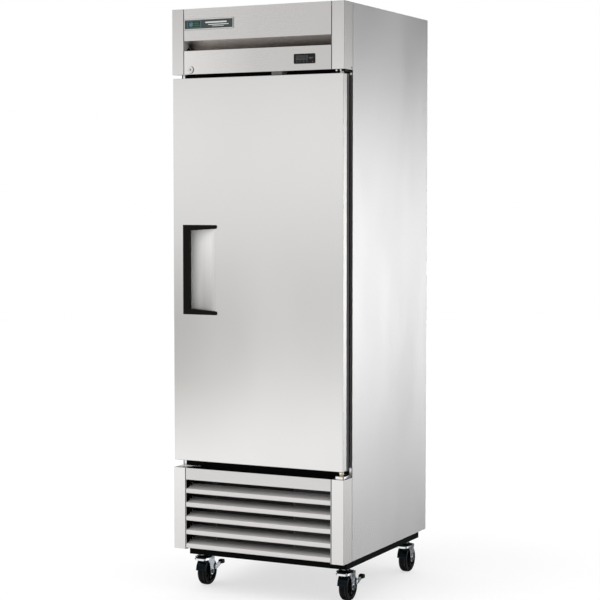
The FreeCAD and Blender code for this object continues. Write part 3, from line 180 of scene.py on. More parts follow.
def brushed(name, grain, colour, roughness, anisotropy):
    """Start a sheet-steel finish: brush lines along one axis and faint broad smears in the polish."""
    finish = Finish(name, colour, roughness, metallic=1.0)
    lines = finish.noise(14, 4, LINES[grain], 0.7)
    broad = finish.noise(3.5, 2, SMEARS[grain])
    tone = finish.tint(lines, colour, 0.97, 1.02, 0.25, 0.75)
    smear = finish.tint(broad, colour, 0.97, 1.02)
    wander = finish.span(broad, roughness - 0.02, roughness + 0.02)
    finish.set("Roughness", finish.math("ADD", finish.span(lines, -0.006, 0.006), wander))
    finish.set("Anisotropic", anisotropy)
    if grain != "Z":
        finish.set("Anisotropic Rotation", QUARTER_TURN)
    finish.bump(lines, 0.0025)
    return finish, finish.mix(0.5, tone, smear)


def brushed_steel(name, grain, colour, roughness=0.24, anisotropy=0.9):
    finish, tone = brushed(name, grain, colour, roughness, anisotropy)
    finish.set("Base Color", tone)
    return finish.material


def door_steel(name):
    """Steel of the door skin with painted shade below the grip; the grip pocket is less metallic, with
    painted light and shade.
    """
    finish, tone = brushed(name, "Z", STEEL, 0.24, 0.9)
    across, up = finish.along("X"), finish.along("Z")
    # Painted shade below the grip, strongest toward the left edge of the door
    below_grip = finish.both(finish.span(up, 0, 1, 0.50, 0.78), finish.span(up, 1, 0, 1.00, 1.30))
    painted_grip_shade = finish.both(finish.span(across, 1, 0, -0.34, 0.02), below_grip)
    tone = finish.mix(painted_grip_shade, tone, (0.64, 0.625, 0.61))
    pocket = finish.both(finish.span(finish.along("Y"), 0, 1, *POCKET_DEPTH),
                         finish.span(finish.math("ABSOLUTE", across), 1, 0, *POCKET_HALF))
    # Painted shade in the grip pocket, darker toward its bottom, and painted light beside the grip
    pocket_painted_shade = finish.ramp(finish.span(up, 0, 1, 1.06, 1.28), (0.40, 0.393, 0.388), (0.74, 0.734, 0.726), 0, 1)
    pocket_light_and_shade = finish.mix(finish.span(across, 0.75, 0, -0.280, -0.225), pocket_painted_shade, (1.0, 0.99, 0.98))
    finish.set("Base Color", finish.mix(pocket, tone, pocket_light_and_shade))
    finish.set("Metallic", finish.math("SUBTRACT", 1, finish.both(pocket, 0.88)))
    return finish.material


def post_steel(name):
    """Steel of the corner posts, with a painted black dot of shade over the small hole in the side of each
    header post.
    """
    finish, tone = brushed(name, "Z", (0.80, 0.787, 0.775), 0.24, 0.9)
    beside = finish.math("POWER", finish.math("SUBTRACT", finish.along("Y"), HOLE_DEPTH), 2)
    above = finish.math("POWER", finish.math("SUBTRACT", finish.along("Z"), HOLE_HEIGHT), 2)
    away = finish.math("SQRT", finish.math("ADD", beside, above))
    outside = finish.span(finish.math("ABSOLUTE", finish.along("X")), 0, 1, POST_SIDE, POST_SIDE + 0.0003)
    # Painted shade: black dot over the small hole in the outer face of each header post
    hole_shade = finish.both(finish.span(away, 1, 0, HOLE_SHADE_RADIUS, HOLE_SHADE_RADIUS + 0.0006), outside)
    finish.set("Base Color", finish.mix(hole_shade, tone, (0.004, 0.004, 0.004)))
    return finish.material


def paint_shade_with_depth(finish, tone, depths, dull, share):
    """Paint shade onto the steel that deepens with depth."""
    finish.set("Base Color", finish.mix(finish.span(finish.along("Y"), 0, share, *depths), tone, dull))


def header_steel(name):
    """Steel of the header, with painted light toward the left of its lower face, painted shade toward its
    right, and painted shade deepening into its groove.
    """
    finish, tone = brushed(name, "X", (0.766, 0.746, 0.731), 0.28, 0.7)
    across = finish.along("X")
    # Painted light toward the left of the lower face
    painted_light_left = finish.both(finish.span(across, 0.9, 0, -0.30, 0.0),
                        finish.span(finish.along("Z"), 1, 0.3, 1.972, 2.004))
    # Painted shade toward the right
    plain = finish.mix(finish.span(across, 0, 0.09, -0.05, 0.30), tone, (0.30, 0.29, 0.285))
    bright = finish.mix(painted_light_left, plain, (1.0, 0.975, 0.955))
    paint_shade_with_depth(finish, bright, GROOVE_DEPTH, (0.24, 0.22, 0.21), 0.34)
    return finish.material


def slat_steel(name):
    """Satin steel of the slats, which takes light and shade more softly than the panels, with painted shade
    toward the rear of each slat.
    """
    finish, tone = brushed(name, "X", (0.665, 0.650, 0.640), 0.42, 0.3)
    paint_shade_with_depth(finish, tone, SLAT_DEPTH, (0.14, 0.13, 0.125), 0.6)
    finish.set("Metallic", 0.4)
    return finish.material


# ---------------------------------------------------------------- other metals, plastics and paint

def galvanised(name, colour=(0.60, 0.62, 0.63)):
    """Zinc-coated sheet with its spangle."""
    finish = Finish(name, colour, 0.42, metallic=1.0)
    flakes = finish.cells(95)
    finish.bump(finish.noise(160, 3), 0.08)
    return finish.done(finish.tint(flakes, colour, 0.86, 1.1, 0.1, 0.9),
                       finish.span(flakes, 0.36, 0.5, 0.1, 0.9))


def zinc_plate(name, colour=(0.62, 0.67, 0.72)):
    """Bright bluish plating of the caster steel, a little dull in patches."""
    finish = Finish(name, colour, 0.22, metallic=1.0)
    cloud = finish.noise(60, 4)
    finish.bump(finish.noise(420, 2), 0.06)
    return finish.done(finish.tint(cloud, colour, 0.78, 1.08, 0.35, 0.7), finish.span(cloud, 0.30, 0.16))


def polished(name, colour, roughness=0.3):
    """Bright plated or polished metal with fine handling marks."""
    finish = Finish(name, colour, roughness, metallic=1.0)
    marks = finish.noise(240, 5, (1, 3, 1), 0.7)
    finish.bump(marks, 0.04, 0.0002)
    return finish.done(finish.tint(marks, colour, 0.9, 1.04),
                       finish.span(marks, roughness + 0.07, roughness - 0.03))


def moulded(name, colour, roughness=0.5, shine=0.2, grain_scale=900, grain_depth=0.12, drift_to=1.15):
    """Moulded plastic: fine pebbled grain, slight colour drift and rubbed patches."""
    finish = Finish(name, colour, roughness)
    grain = finish.noise(grain_scale, 3)
    drift = finish.noise(11, 3)
    finish.set("Base Color", finish.mix(0.5, finish.tint(drift, colour, 0.9, drift_to),
                                        finish.tint(grain, colour, 0.92, 1.08)))
    finish.set("Roughness", finish.math("ADD", finish.span(drift, -0.05, 0.05),
                                        finish.span(grain, roughness - 0.04, roughness + 0.04)))
    finish.set("Specular IOR Level", shine)
    finish.bump(grain, grain_depth)
    return finish.material


def rubber(name, colour, roughness, shine):
    """Soft rubber with a dusty bloom."""
    finish = Finish(name, colour, roughness)
    dust = finish.noise(45, 5)
    bloom = tuple(channel * 1.4 + 0.001 for channel in colour)
    finish.set("Base Color", finish.ramp(dust, shade(colour, 0.85), bloom, 0.35, 0.75))
    finish.set("Roughness", finish.span(dust, roughness - 0.08, roughness + 0.08))
    finish.set("Specular IOR Level", shine)
    finish.bump(finish.noise(700, 2), 0.15)
    return finish.material


def powder_coat(name, colour, roughness=0.4, shine=0.2):
    """Baked paint with its orange-peel surface."""
    finish = Finish(name, colour, roughness)
    drift = finish.noise(9, 3)
    finish.set("Specular IOR Level", shine)
    finish.bump(finish.noise(520, 2), 0.2, 0.0004)
    return finish.done(finish.tint(drift, colour, 0.88, 1.15),
                       finish.span(drift, roughness + 0.05, roughness - 0.05))


def foam(name, colour):
    """Cut face of closed-cell foam."""
    finish = Finish(name, colour, 0.9)
    cells = finish.cells(700)
    finish.bump(cells, 0.35, 0.0008)
    return finish.done(finish.tint(cells, colour, 0.78, 1.06, 0.1, 0.9),
                       finish.span(finish.noise(30, 3), 0.84, 0.96))


def clear_window(name, colour):
    """Smoked display window: dark, glossy, with faint dust."""
    finish = Finish(name, colour, 0.12)
    dust = finish.noise(150, 5)
    dusty = tuple(channel * 1.15 + 0.004 for channel in colour)
    finish.set("Base Color", finish.ramp(dust, shade(colour, 0.85), dusty, 0.4, 0.8))
    finish.set("Roughness", finish.span(dust, 0.09, 0.2))
    finish.set("Specular IOR Level", 0.35)
    return finish.material


def glowing(name, colour, strength):
    """Small lamp with a hot middle."""
    finish = Finish(name, colour, 0.3)
    glow = finish.noise(300, 2)
    finish.set("Emission Color", finish.ramp(glow, shade(colour, 0.75), colour))
    finish.set("Emission Strength", strength)
    finish.set("Roughness", finish.span(glow, 0.25, 0.4))
    return finish.material


# Maker of each finish and what it takes: mostly a colour, then a roughness and a shine
FINISHES = {
    "steel_door": (door_steel,),
    "steel_post": (post_steel,),
    "steel_side": (brushed_steel, "Z", (0.805, 0.803, 0.805)),
    "steel_header": (header_steel,),
    "steel_cross": (brushed_steel, "X", (0.775, 0.762, 0.75), 0.28, 0.7),
    "steel_slat": (slat_steel,),
    "steel_top": (brushed_steel, "X", STEEL, 0.34, 0.2),
    "liner_sheet": (brushed_steel, "Z", (0.74, 0.75, 0.76), 0.38, 0.2),
    "galvanised_sheet": (galvanised,),
    # Black that paints the shade behind the louver, on the air baffles
    "dark_sheet": (galvanised, (0.05, 0.05, 0.05)),
    "zinc_plate": (zinc_plate,),
    # Zinc darkened as painted shade, for the upper hinge bracket and the caster hoods
    "dark_zinc": (zinc_plate, (0.010, 0.015, 0.018)),
    "bright_metal": (polished, (0.86, 0.86, 0.85)),
    "brass": (polished, (0.62, 0.48, 0.25)),
    # Black that paints shade: the shadow under the lower hinge, the gaps beside the posts and the holes in
    # them
    "black_sealant": (rubber, (0.004, 0.0035, 0.0035), 0.5, 0.05),
    "hinge_plate": (polished, (0.97, 0.97, 0.96), 0.22),
    "crown_plate": (polished, (0.93, 0.95, 0.96), 0.2),
    "dark_steel": (polished, (0.10, 0.12, 0.14)),
    "copper": (polished, (0.72, 0.36, 0.22)),
    "badge_rim": (polished, (0.93, 0.93, 0.92)),
    # Dark edge of the badge; also the painted shadow ring around the lock
    "badge_edge": (powder_coat, (0.10, 0.10, 0.095), 0.5),
    "badge_field": (powder_coat, (0.048, 0.060, 0.058)),
    "badge_blue": (powder_coat, (0.012, 0.034, 0.042)),
    "badge_ice": (powder_coat, (0.19, 0.30, 0.35), 0.35, 0.3),
    "badge_green": (powder_coat, (0.045, 0.12, 0.03)),
    # Dark grey of the condenser fins, partly painted shade behind the louver
    "coil_fins": (galvanised, (0.16, 0.16, 0.16)),
    "evaporator_fins": (galvanised, (0.55, 0.56, 0.56)),
    "insulation_foam": (foam, (0.78, 0.66, 0.40)),
    "white_liner": (moulded, (0.78, 0.79, 0.79), 0.35, 0.5, 700, 0.05, 1.03),
    # Near-black plastic of the face frame; also the black that paints shade in the groove ends, at the
    # louver ends and in the key slot
    "face_plastic": (moulded, (0.0035, 0.0025, 0.0025), 0.5, 0.05),
    "trim_plastic": (moulded, (0.066, 0.063, 0.063), 0.5, 0.12),
    "gasket_rubber": (rubber, (0.0035, 0.003, 0.003), 0.5, 0.08),
    "black_plastic": (moulded, (0.0035, 0.0026, 0.0024), 0.4, 0.09),
    "bezel_plastic": (moulded, (0.010, 0.0105, 0.011), 0.4, 0.15),
    "window": (clear_window, (0.034, 0.034, 0.036)),
    "print_grey": (moulded, (0.12, 0.12, 0.12)),
    "led": (glowing, (0.75, 0.08, 0.05), 0.42),
    "button_grey": (moulded, (0.035, 0.035, 0.036)),
    "grey_plastic": (moulded, (0.36, 0.36, 0.35), 0.42, 0.3),
    "wall_grey": (moulded, (0.34, 0.334, 0.33), 0.5, 0.3),
    "lamp_lens": (moulded, (0.85, 0.86, 0.84), 0.25, 0.5, 300, 0.2, 1.02),
    "black_frame": (powder_coat, (0.0025, 0.0032, 0.0028), 0.4, 0.02),
    "shelf_wire": (powder_coat, (0.50, 0.51, 0.52), 0.3, 0.5),
    # Lighter rubber that paints highlight bands around the wheel tread
    "tread_line": (rubber, (0.030, 0.031, 0.032), 0.35, 0.2),
    "caster_tread": (rubber, (0.0030, 0.0032, 0.0034), 0.2, 0.05),
}
materials = {name: maker(name, *values) for name, (maker, *values) in FINISHES.items()}

BUTTONS = tuple(f"controller_button_{index}" for index in (1, 2, 3, 4))

# Finish and width in mm of the round on the edges, for the CAD nodes that stay
LOOKS = {
    ("black_frame", 1.5): ("base_frame",),
    ("black_frame", 3.0): ("compressor",),
    ("black_plastic", 0.5): ("switch_plunger",),
    ("black_plastic", 0.8): ("cord_gland",),
    ("black_plastic", 1.0): ("door_handle",),
    ("brass", 0.4): ("door_hinge_bushings",),
    ("bright_metal", 0.3): ("lock_cylinder",),
    ("button_grey", 0.4): BUTTONS,
    ("copper", 0): ("refrigerant_lines",),
    ("evaporator_fins", 0.5): ("evaporator_coil",),
    ("face_plastic", 0.5): ("face_frame",),
    ("galvanised_sheet", 0.3): ("rear_grille", "rear_panel"),
    ("galvanised_sheet", 0.4): ("base_deck", "shelf_pilasters"),
    ("galvanised_sheet", 0.6): ("condensate_pan",),
    ("galvanised_sheet", 1.0): ("fan_motors",),
    ("grey_plastic", 1.5): ("door_switch",),
    ("insulation_foam", 0): ("door_core", "foam_insulation"),
    ("liner_sheet", 0.4): ("inner_liner",),
    ("liner_sheet", 0.6): ("evaporator_cover",),
    ("shelf_wire", 0): ("shelf_lower", "shelf_middle", "shelf_upper"),
    ("shelf_wire", 0.8): ("shelf_clips",),
    ("steel_cross", 0.4): ("louver_panel",),
    ("steel_door", 0.5): ("door_skin",),
    ("steel_header", 0.4): ("header_panel",),
    ("steel_post", 0.5): ("corner_posts",),
    ("steel_side", 0.5): ("left_side_panel", "right_side_panel"),
    ("steel_slat", 0.4): ("louver_slats",),
    ("steel_top", 0.4): ("top_panel",),
    ("trim_plastic", 1.0): ("door_trim",),
    ("zinc_plate", 0.5): ("caster_stems",),
}


# Reach of the weld between split CAD faces, in metres; most bend of a flat face; least bend of an edge
WELD_REACH = 0.00002
FLAT = math.radians(0.5)
EDGE = math.radians(40)


def put_object(name, data):
    """New object in the scene."""
    thing = bpy.data.objects.new(name, data)
    bpy.context.scene.collection.objects.link(thing)
    return thing


def round_edges(thing, width, angle):
    """Round the edges that are sharper than an angle by a width in millimetres, as a modifier."""
    bevel = thing.modifiers.new("bevel", "BEVEL")
    bevel.width = width * MM
    bevel.segments = 2
    bevel.limit_method = "ANGLE"
    bevel.angle_limit = angle
    return bevel


def soften(thing, width):
    """Join the split CAD faces, round their edges and even out the shading, all as modifiers."""
    weld = thing.modifiers.new("weld", "WELD")
    weld.merge_threshold = WELD_REACH
    flat = thing.modifiers.new("flat", "DECIMATE")
    flat.decimate_type = "DISSOLVE"
    flat.angle_limit = FLAT
    round_edges(thing, width, EDGE)
    normals = thing.modifiers.new("normals", "WEIGHTED_NORMAL")
    normals.keep_sharp = True


def dress_nodes():
    for (look, width), names in LOOKS.items():
        for name in names:
            thing = cad[name]
            thing.data.materials.clear()
            thing.data.materials.append(materials[look])
            if width:
                soften(thing, width)


# ---------------------------------------------------------------- mesh helpers

# Straight steps in a rounded corner, and the least radius of one
BEND = 5
LEAST_BEND = 0.15
# Sharpest angle that still shades as one smooth surface
SHARP = math.radians(34)

PLACINGS = {
    "x": lambda a, b, depth: (depth, a, b),
    "y": lambda a, b, depth: (a, depth, b),
    "z": lambda a, b, depth: (a, b, depth),
}


def around(centre, radius, angle):
    """Point on a circle."""
    return centre[0] + radius * math.cos(angle), centre[1] + radius * math.sin(angle)


def circle(centre, radius, count=ROUND, turn=0.0):
    return [around(centre, radius, 2 * math.pi * index / count + turn) for index in range(count)]


def rounded_loop(low, high, radius, inset=0.0):
    """Rectangle with rounded corners, as pairs of coordinates, drawn in by an inset."""
    left, bottom = low[0] + inset, low[1] + inset
    right, top = high[0] - inset, high[1] - inset
    bend = max(radius - inset, LEAST_BEND)
    corners = ((right - bend, top - bend, 0), (left + bend, top - bend, 90),
               (left + bend, bottom + bend, 180), (right - bend, bottom + bend, 270))
    points = []
    for across, up, start in corners:
        for step in range(BEND + 1):
            points.append(around((across, up), bend, math.radians(start + 90 * step / BEND)))
    return points


def moved(points, across):
    return [(a + across, b) for a, b in points]


def turned(points, centre, angle):
    """Points turned by an angle and carried to a centre."""
    along, aside = math.cos(angle), math.sin(angle)
    return [(centre[0] + a * along - b * aside, centre[1] + a * aside + b * along) for a, b in points]


def skin(shape, rows, wrap=0):
    """Faces between neighbouring rows of vertices; a wrap of 1 also joins the two ends of the rows."""
    for here, after in zip(rows, rows[1:]):
        for index in range(len(here) - 1 + wrap):
            beside = (index + 1) % len(here)
            shape.faces.new((here[index], here[beside], after[beside], after[index]))


def loft(shape, loops, axis, closed=False):
    """Skin over loops of equal length, each some points and a depth; closed joins the last to the first."""
    place = PLACINGS[axis]
    rows = [[shape.verts.new(place(a, b, depth)) for a, b in points] for points, depth in loops]
    skin(shape, rows, 1)
    if closed:
        skin(shape, (rows[-1], rows[0]), 1)
    else:
        shape.faces.new(rows[0])
        shape.faces.new(rows[-1])


def pan(shape, low, high, radius, steps, axis, closed=False):
    """Stepped form on a rounded rectangle; each step is an inset and a depth."""
    loft(shape, [(rounded_loop(low, high, radius, inset), depth) for inset, depth in steps], axis, closed)


def plate(shape, outline, axis, depths):
    """Straight form on an outline, from one depth to another."""
    loft(shape, [(outline, depth) for depth in depths], axis)


def block(shape, low, high, radius, depths, axis):
    """Straight form on a rounded rectangle, from one depth to another."""
    plate(shape, rounded_loop(low, high, radius), axis, depths)


def lathe(shape, centre, outline, axis, closed=False, count=ROUND):
    """Turned form; the outline gives radii and depths along the axis."""
    loft(shape, [(circle(centre, radius, count), depth) for radius, depth in outline], axis, closed)


def ring(shape, centre, radius, wire, depth, axis):
    """Round wire bent into a circle."""
    lathe(shape, centre, circle((radius, depth), wire, WIRE_ROUND), axis, closed=True)


def bar(shape, start, end, radius, count=FINE):
    """Round bar between two points."""
    start, end = Vector(start), Vector(end)
    along = end - start
    turn = along.to_track_quat("Z", "Y").to_matrix().to_4x4()
    matrix = Matrix.Translation((start + end) / 2) @ turn
    bmesh.ops.create_cone(shape, cap_ends=True, segments=count, radius1=radius, radius2=radius,
                          depth=along.length, matrix=matrix)


def add_piece(name, shape, look, body="cabinet", stands_for=(), edge=0.0):
    """Finish a mesh: bring it to metres, shade and round its edges, give it its finish and body."""
    bmesh.ops.recalc_face_normals(shape, faces=shape.faces)
    mesh = bpy.data.meshes.new(name)
    shape.to_mesh(mesh)
    shape.free()
    mesh.transform(Matrix.Scale(MM, 4))
    for face in mesh.polygons:
        face.use_smooth = True
    mesh.set_sharp_from_angle(angle=SHARP)
    mesh.materials.append(materials[look])
    thing = put_object(name, mesh)
    if edge:
        round_edges(thing, edge, SHARP).harden_normals = True
    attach(thing, body)
    if stands_for:
        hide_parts(*stands_for)


def pressed(name, look, form, body="cabinet", stands_for=()):
    """Piece made of one stepped form."""
    shape = bmesh.new()
    pan(shape, *form)
    add_piece(name, shape, look, body, stands_for)


def shifted(corner, across, up):
    return corner[0] + across, corner[1] + up


def box_of(node):
    """Low and high corners of a CAD node, in millimetres."""
    low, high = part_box(node)
    return low / MM, high / MM


def middle_of(node):
    low, high = box_of(node)
    return (low + high) / 2


def front_of(node):
    """Low and high corners of a node seen from the front, and its nearest and farthest depth."""
    low, high = box_of(node)
    return (low.x, low.z), (high.x, high.z), low.y, high.y


# ---------------------------------------------------------------- header pieces

# Snowflake of the badge: reach and half width of its arms; start, length and half width of its twigs
ARM, ARM_HALF = 9, 0.9
TWIG_ROOT, TWIG, TWIG_HALF = 5, 3.2, 0.6
# Plain bars of the badge: start, end, base and height
BADGE_BARS = ((88, 176, 22.5, 5.0), (100, 184, 15.5, 2.6), (116, 164, 10.5, 1.6))
# Printed bars of the controller: start, end, base and height
PRINTED_BARS = ((58, 76, 19.5, 1.6), (60, 72, 16.5, 1.0))
# Gaps around a controller button
BUTTON_GAP, BUTTON_RISE = 0.15, 0.2
# Groove of the header: its top and bottom and how deep it goes
GROOVE_TOP, GROOVE_BOTTOM, GROOVE_DEEP = 2003.4, 1968.4, 61.4


def make_flake(middle, raised):
    """Snowflake of three crossed arms with twigs on both ends."""
    flake = bmesh.new()
    for arm in range(3):
        turn = math.radians(60 * arm + 90)
        corners = ((ARM, ARM_HALF), (ARM, -ARM_HALF), (-ARM, -ARM_HALF), (-ARM, ARM_HALF))
        plate(flake, turned(corners, middle, turn), "y", (raised[0] + 0.1, raised[1]))
        for side in (-1, 1):
            root = around(middle, side * TWIG_ROOT, turn)
            corners = ((0, TWIG_HALF), (0, -TWIG_HALF), (side * TWIG, -TWIG_HALF), (side * TWIG, TWIG_HALF))
            for tilt in (-45, 45):
                twig = turned(corners, root, turn + math.radians(tilt))
                plate(flake, twig, "y", (raised[0] + 0.15, raised[1]))
    add_piece("badge_flake", flake, "badge_ice")


def make_badge():
    """Badge: bright bevelled rim, dark field, a framed snowflake and plain bars where a name would be."""
    low, high, face, back = front_of("badge_plate")
    deck = face + 1.1
    raised = (face + 0.5, deck + 0.2)
    corner, far = shifted(low, 16, 7), (low[0] + 70, high[1] - 7)
    rim = [(0.7, back), (0.7, face + 0.6), (1.3, face), (3.6, face), (4.4, face + 1), (4.4, back)]
    edge = [(0, back), (0, back - 0.9), (0.8, back - 1.1), (0.8, back)]
    border = [(0, raised[1]), (0, raised[0]), (0.9, raised[0]), (0.9, raised[1])]
    pressed("badge_rim", "badge_rim", (low, high, 1.5, rim, "y", True),
            stands_for=("badge_plate",))
    pressed("badge_edge", "badge_edge", (low, high, 1.5, edge, "y", True))
    pressed("badge_field", "badge_field", (low, high, 1.5, [(4.3, back), (4.3, deck)], "y"))
    pressed("badge_frame", "badge_ice", (corner, far, 2, border, "y", True))
    pressed("badge_picture", "badge_blue",
            (corner, far, 2, [(0.8, raised[1]), (0.8, raised[0] + 0.3)], "y"))
    make_flake((corner[0] + 14, (corner[1] + far[1]) / 2), raised)
    greens = bmesh.new()
    for row in range(2):
        base = corner[1] + 6 + 8 * row
        block(greens, (corner[0] + 26, base), (far[0] - 4 - 5 * row, base + 4.5), 1,
              (raised[1], raised[0] + 0.1), "y")
    add_piece("badge_green_bars", greens, "badge_green")
    bars = bmesh.new()
    for start, end, base, tall in BADGE_BARS:
        pan(bars, shifted(low, start, base), shifted(low, end, base + tall), tall / 2,
            [(0, raised[1]), (0, raised[0] + 0.2), (0.5, raised[0])], "y")
    add_piece("badge_bars", bars, "badge_rim")


def make_bezel(low, high, sheet, face, sunk, back):
    """Bezel of the controller with its case behind the sheet, and the walls between the buttons."""
    bezel = bmesh.new()
    pan(bezel, low, high, 3.5, [(0.2, sheet), (0, sheet - 0.4), (0, face + 0.7), (0.7, face), (1.9, face),
                                (2.4, sunk), (2.4, sheet)], "y", closed=True)
    pan(bezel, low, high, 1, [(2.2, back), (2.2, back - 2), (2.0, sheet + 4.5), (2.0, sheet + 3.4)], "y")
    boxes = [box_of(button) for button in BUTTONS]
    shelf = boxes[0][0].z - BUTTON_RISE
    lintel = boxes[0][1].z + BUTTON_RISE
    left, right = low[0] + 2.3, high[0] - 2.3
    starts = [left] + [button_high.x + BUTTON_GAP for _, button_high in boxes]
    ends = [button_low.x - BUTTON_GAP for button_low, _ in boxes] + [right]
    walls = [((left, lintel), (right, high[1] - 2.3)), ((left, low[1] + 2.3), (right, shelf))]
    walls += [((start, shelf), (end, lintel)) for start, end in zip(starts, ends)]
    for wall_low, wall_high in walls:
        block(bezel, wall_low, wall_high, 0, (sheet + 3.5, sunk), "y")
    add_piece("controller_bezel", bezel, "bezel_plastic",
              stands_for=("controller_housing",))
    return lintel


def make_controller():
    """Controller: bezel with a sunk face and slots for the buttons, window, printed marks and lamp."""
    low, high, face, back = front_of("controller_housing")
    sunk = face + 0.9
    lintel = make_bezel(low, high, face + 2, face, sunk, back)
    glass = [(0, sunk + 0.1), (0, sunk - 0.25), (0.4, sunk - 0.4)]
    pressed("controller_window", "window",
            (shifted(low, 8, 12), (low[0] + 47, high[1] - 5.5), 1.5, glass, "y"))
    marks = bmesh.new()
    proud = (sunk + 0.1, sunk - 0.08)
    block(marks, shifted(low, 50.5, 11), (low[0] + 52.5, high[1] - 5), 0.5, proud, "y")
    for start, end, base, tall in PRINTED_BARS:
        block(marks, shifted(low, start, base), shifted(low, end, base + tall), 0.4, proud, "y")
    for button in BUTTONS:
        spot = box_of(button)[0].x
        block(marks, (spot + 2, lintel + 1), (spot + 6, lintel + 1.8), 0.2, proud, "y")
    add_piece("controller_marks", marks, "print_grey")
    lamp = bmesh.new()
    dome = [(1, sunk + 0.2), (1, sunk - 0.2), (0.5, sunk - 0.6)]
    lathe(lamp, shifted(low, 73, 6), dome, "y", count=FINE)
    add_piece("controller_lamp", lamp, "led")


def make_lock():
    """Barrel of the lock with its turned rim; a dark ring set off to the lower right paints the shadow
    around it, and a black block paints the shade in the key slot.
    """
    low, high, face, back = front_of("lock_barrel")
    centre = ((low[0] + high[0]) / 2, (low[1] + high[1]) / 2)
    rim = (high[0] - low[0]) / 2
    bore, thread = 8.15, 10.4
    barrel = bmesh.new()
    lathe(barrel, centre, [(bore, back), (thread, back), (thread, face + 2), (rim, face + 2),
                           (rim, face + 0.9), (rim - 0.9, face), (rim - 2.6, face),
                           (rim - 3.3, face + 0.5), (bore, face + 0.6)], "y", closed=True)
    add_piece("lock_rim", barrel, "badge_rim", stands_for=("lock_barrel",))
    # Painted shadow: a dark ring set off to the lower right, behind the rim
    washer = bmesh.new()
    shadow_section = [(rim - 4, face + 2.1), (rim + 0.8, face + 2.1), (rim + 0.8, face + 1.6), (rim - 4, face + 1.2)]
    lathe(washer, shifted(centre, 1.6, -0.5), shadow_section, "y", closed=True)
    add_piece("lock_shadow_ring", washer, "badge_edge")
    # Painted shade: a black block in the key slot
    slot_shade = bmesh.new()
    block(slot_shade, shifted(centre, -1.5, -4), shifted(centre, 1.5, 4), 1, (face + 0.7, face + 0.35), "y")
    add_piece("lock_keyway_shade", slot_shade, "face_plastic", "lock_cylinder")


def make_groove_ends():
    """Grey end walls of the header groove, each with a black sheet low down that paints the shade of the
    open end.
    """
    _, high, face, _ = front_of("header_panel")
    sheet, rear = face + 0.4, face + GROOVE_DEEP
    wall = ((sheet, GROOVE_BOTTOM), (rear, GROOVE_BOTTOM), (sheet, GROOVE_TOP))
    opening = ((sheet + 12, GROOVE_BOTTOM), (rear, GROOVE_BOTTOM), (sheet + 30, GROOVE_BOTTOM + 16))
    walls, opening_shades = bmesh.new(), bmesh.new()
    for side in (-1, 1):
        outer, inner, proud = [side * (high[0] - inset) for inset in (0.1, 0.6, 0.9)]
        plate(walls, wall, "x", (outer, inner))
        plate(opening_shades, opening, "x", (inner, proud))
    add_piece("groove_ends", walls, "wall_grey")
    # Black sheets that paint the shade in the open ends of the groove
    add_piece("groove_end_shade", opening_shades, "face_plastic")


# ---------------------------------------------------------------- base pieces

SLATS, SLAT_PITCH = 5, 50.5
# Rivets at the end of a slat: distance behind the face and above the foot of the slat
SLAT_RIVETS = ((30, 26), (44, 32))
# Condenser: left and right end of its fins, how many fins, and the rows and columns of its tubes
COIL_LEFT, COIL_RIGHT = -220, 100
FINS = 92
TUBE_FOOT, TUBE_PITCH, TUBE_LEVELS = 40, 42, 5
TUBE_DEPTHS = (18, 42)
# Hinges: the axis of their pins, the left end of their brackets, the rivets of the lower one and the screws
# in the edge of the upper one
HINGE_AXIS = (326, -357)
BRACKET_LEFT = 306
BRACKET_RIVETS = ((318, -332), (318, -315))
BRACKET_SCREWS = (313, 329)


def make_louver_rivets():
    """Slat tabs riveted to the louver frame at both ends of every slat, and black sheets that paint the
    shade at both ends.
    """
    low, high, face, _ = front_of("louver_slats")
    rivets = bmesh.new()
    for index in range(SLATS):
        for across, up in SLAT_RIVETS:
            spot = (face + across, low[1] + index * SLAT_PITCH + up)
            for side in (-1, 1):
                wall = side * (high[0] + 0.2)
                lathe(rivets, spot, [(2.6, wall), (2.4, wall - side * 0.9), (1.2, wall - side * 1.5)], "x",
                      count=FINE)
    add_piece("louver_rivets", rivets, "bright_metal")
    # Black sheets that paint the shade at both ends of the louver
    ends = bmesh.new()
    for side in (-1, 1):
        wall = side * (high[0] + 0.05)
        block(ends, (face + 3, low[1] + 1), (face + 54, low[1] + 250), 0, (wall, wall - side * 0.4), "x")
    add_piece("louver_end_shade", ends, "face_plastic")


def make_condenser():
    """Condenser: pressed fins on tubes with return bends, between the air baffles, whose black paints the
    shade behind the louver; the dark grey of the fins is partly painted shade.
    """
    low, high = box_of("condenser_coil")
    front, rear = low.y, low.y + 60
    top = high.z - 46
    fins = bmesh.new()
    for index in range(FINS):
        x = COIL_LEFT + (COIL_RIGHT - COIL_LEFT) * (index + 0.5) / FINS
        block(fins, (front + 0.5, low.z + 6), (rear, top), 2, (x - 0.25, x + 0.25), "x")
    for x in (COIL_LEFT, COIL_RIGHT):
        block(fins, (front, low.z), (rear + 1, top + 1), 2, (x - 1, x + 1), "x")
    add_piece("condenser_fins", fins, "coil_fins", stands_for=("condenser_coil",))
    tubes = bmesh.new()
    ends = (COIL_LEFT - 8, COIL_RIGHT + 8)
    near, far = [front + depth for depth in TUBE_DEPTHS]
    for level in range(TUBE_LEVELS):
        z = low.z + TUBE_FOOT + TUBE_PITCH * level
        for y in (near, far):
            bar(tubes, (ends[0], y, z), (ends[1], y, z), 4.5)
        for x in ends:
            bar(tubes, (x, near, z), (x, far, z), 4.5)
    add_piece("condenser_tubes", tubes, "copper")
    # Air baffles in black that paints the shade behind the louver
    baffles = bmesh.new()
    for start, end, bottom in ((low.x, COIL_LEFT - 1, low.z), (COIL_RIGHT + 1, high.x, low.z),
                               (COIL_LEFT, COIL_RIGHT, top + 1)):
        block(baffles, (start, bottom), (end, high.z), 1, (front, front + 1.5), "y")
    add_piece("air_baffles", baffles, "dark_sheet")


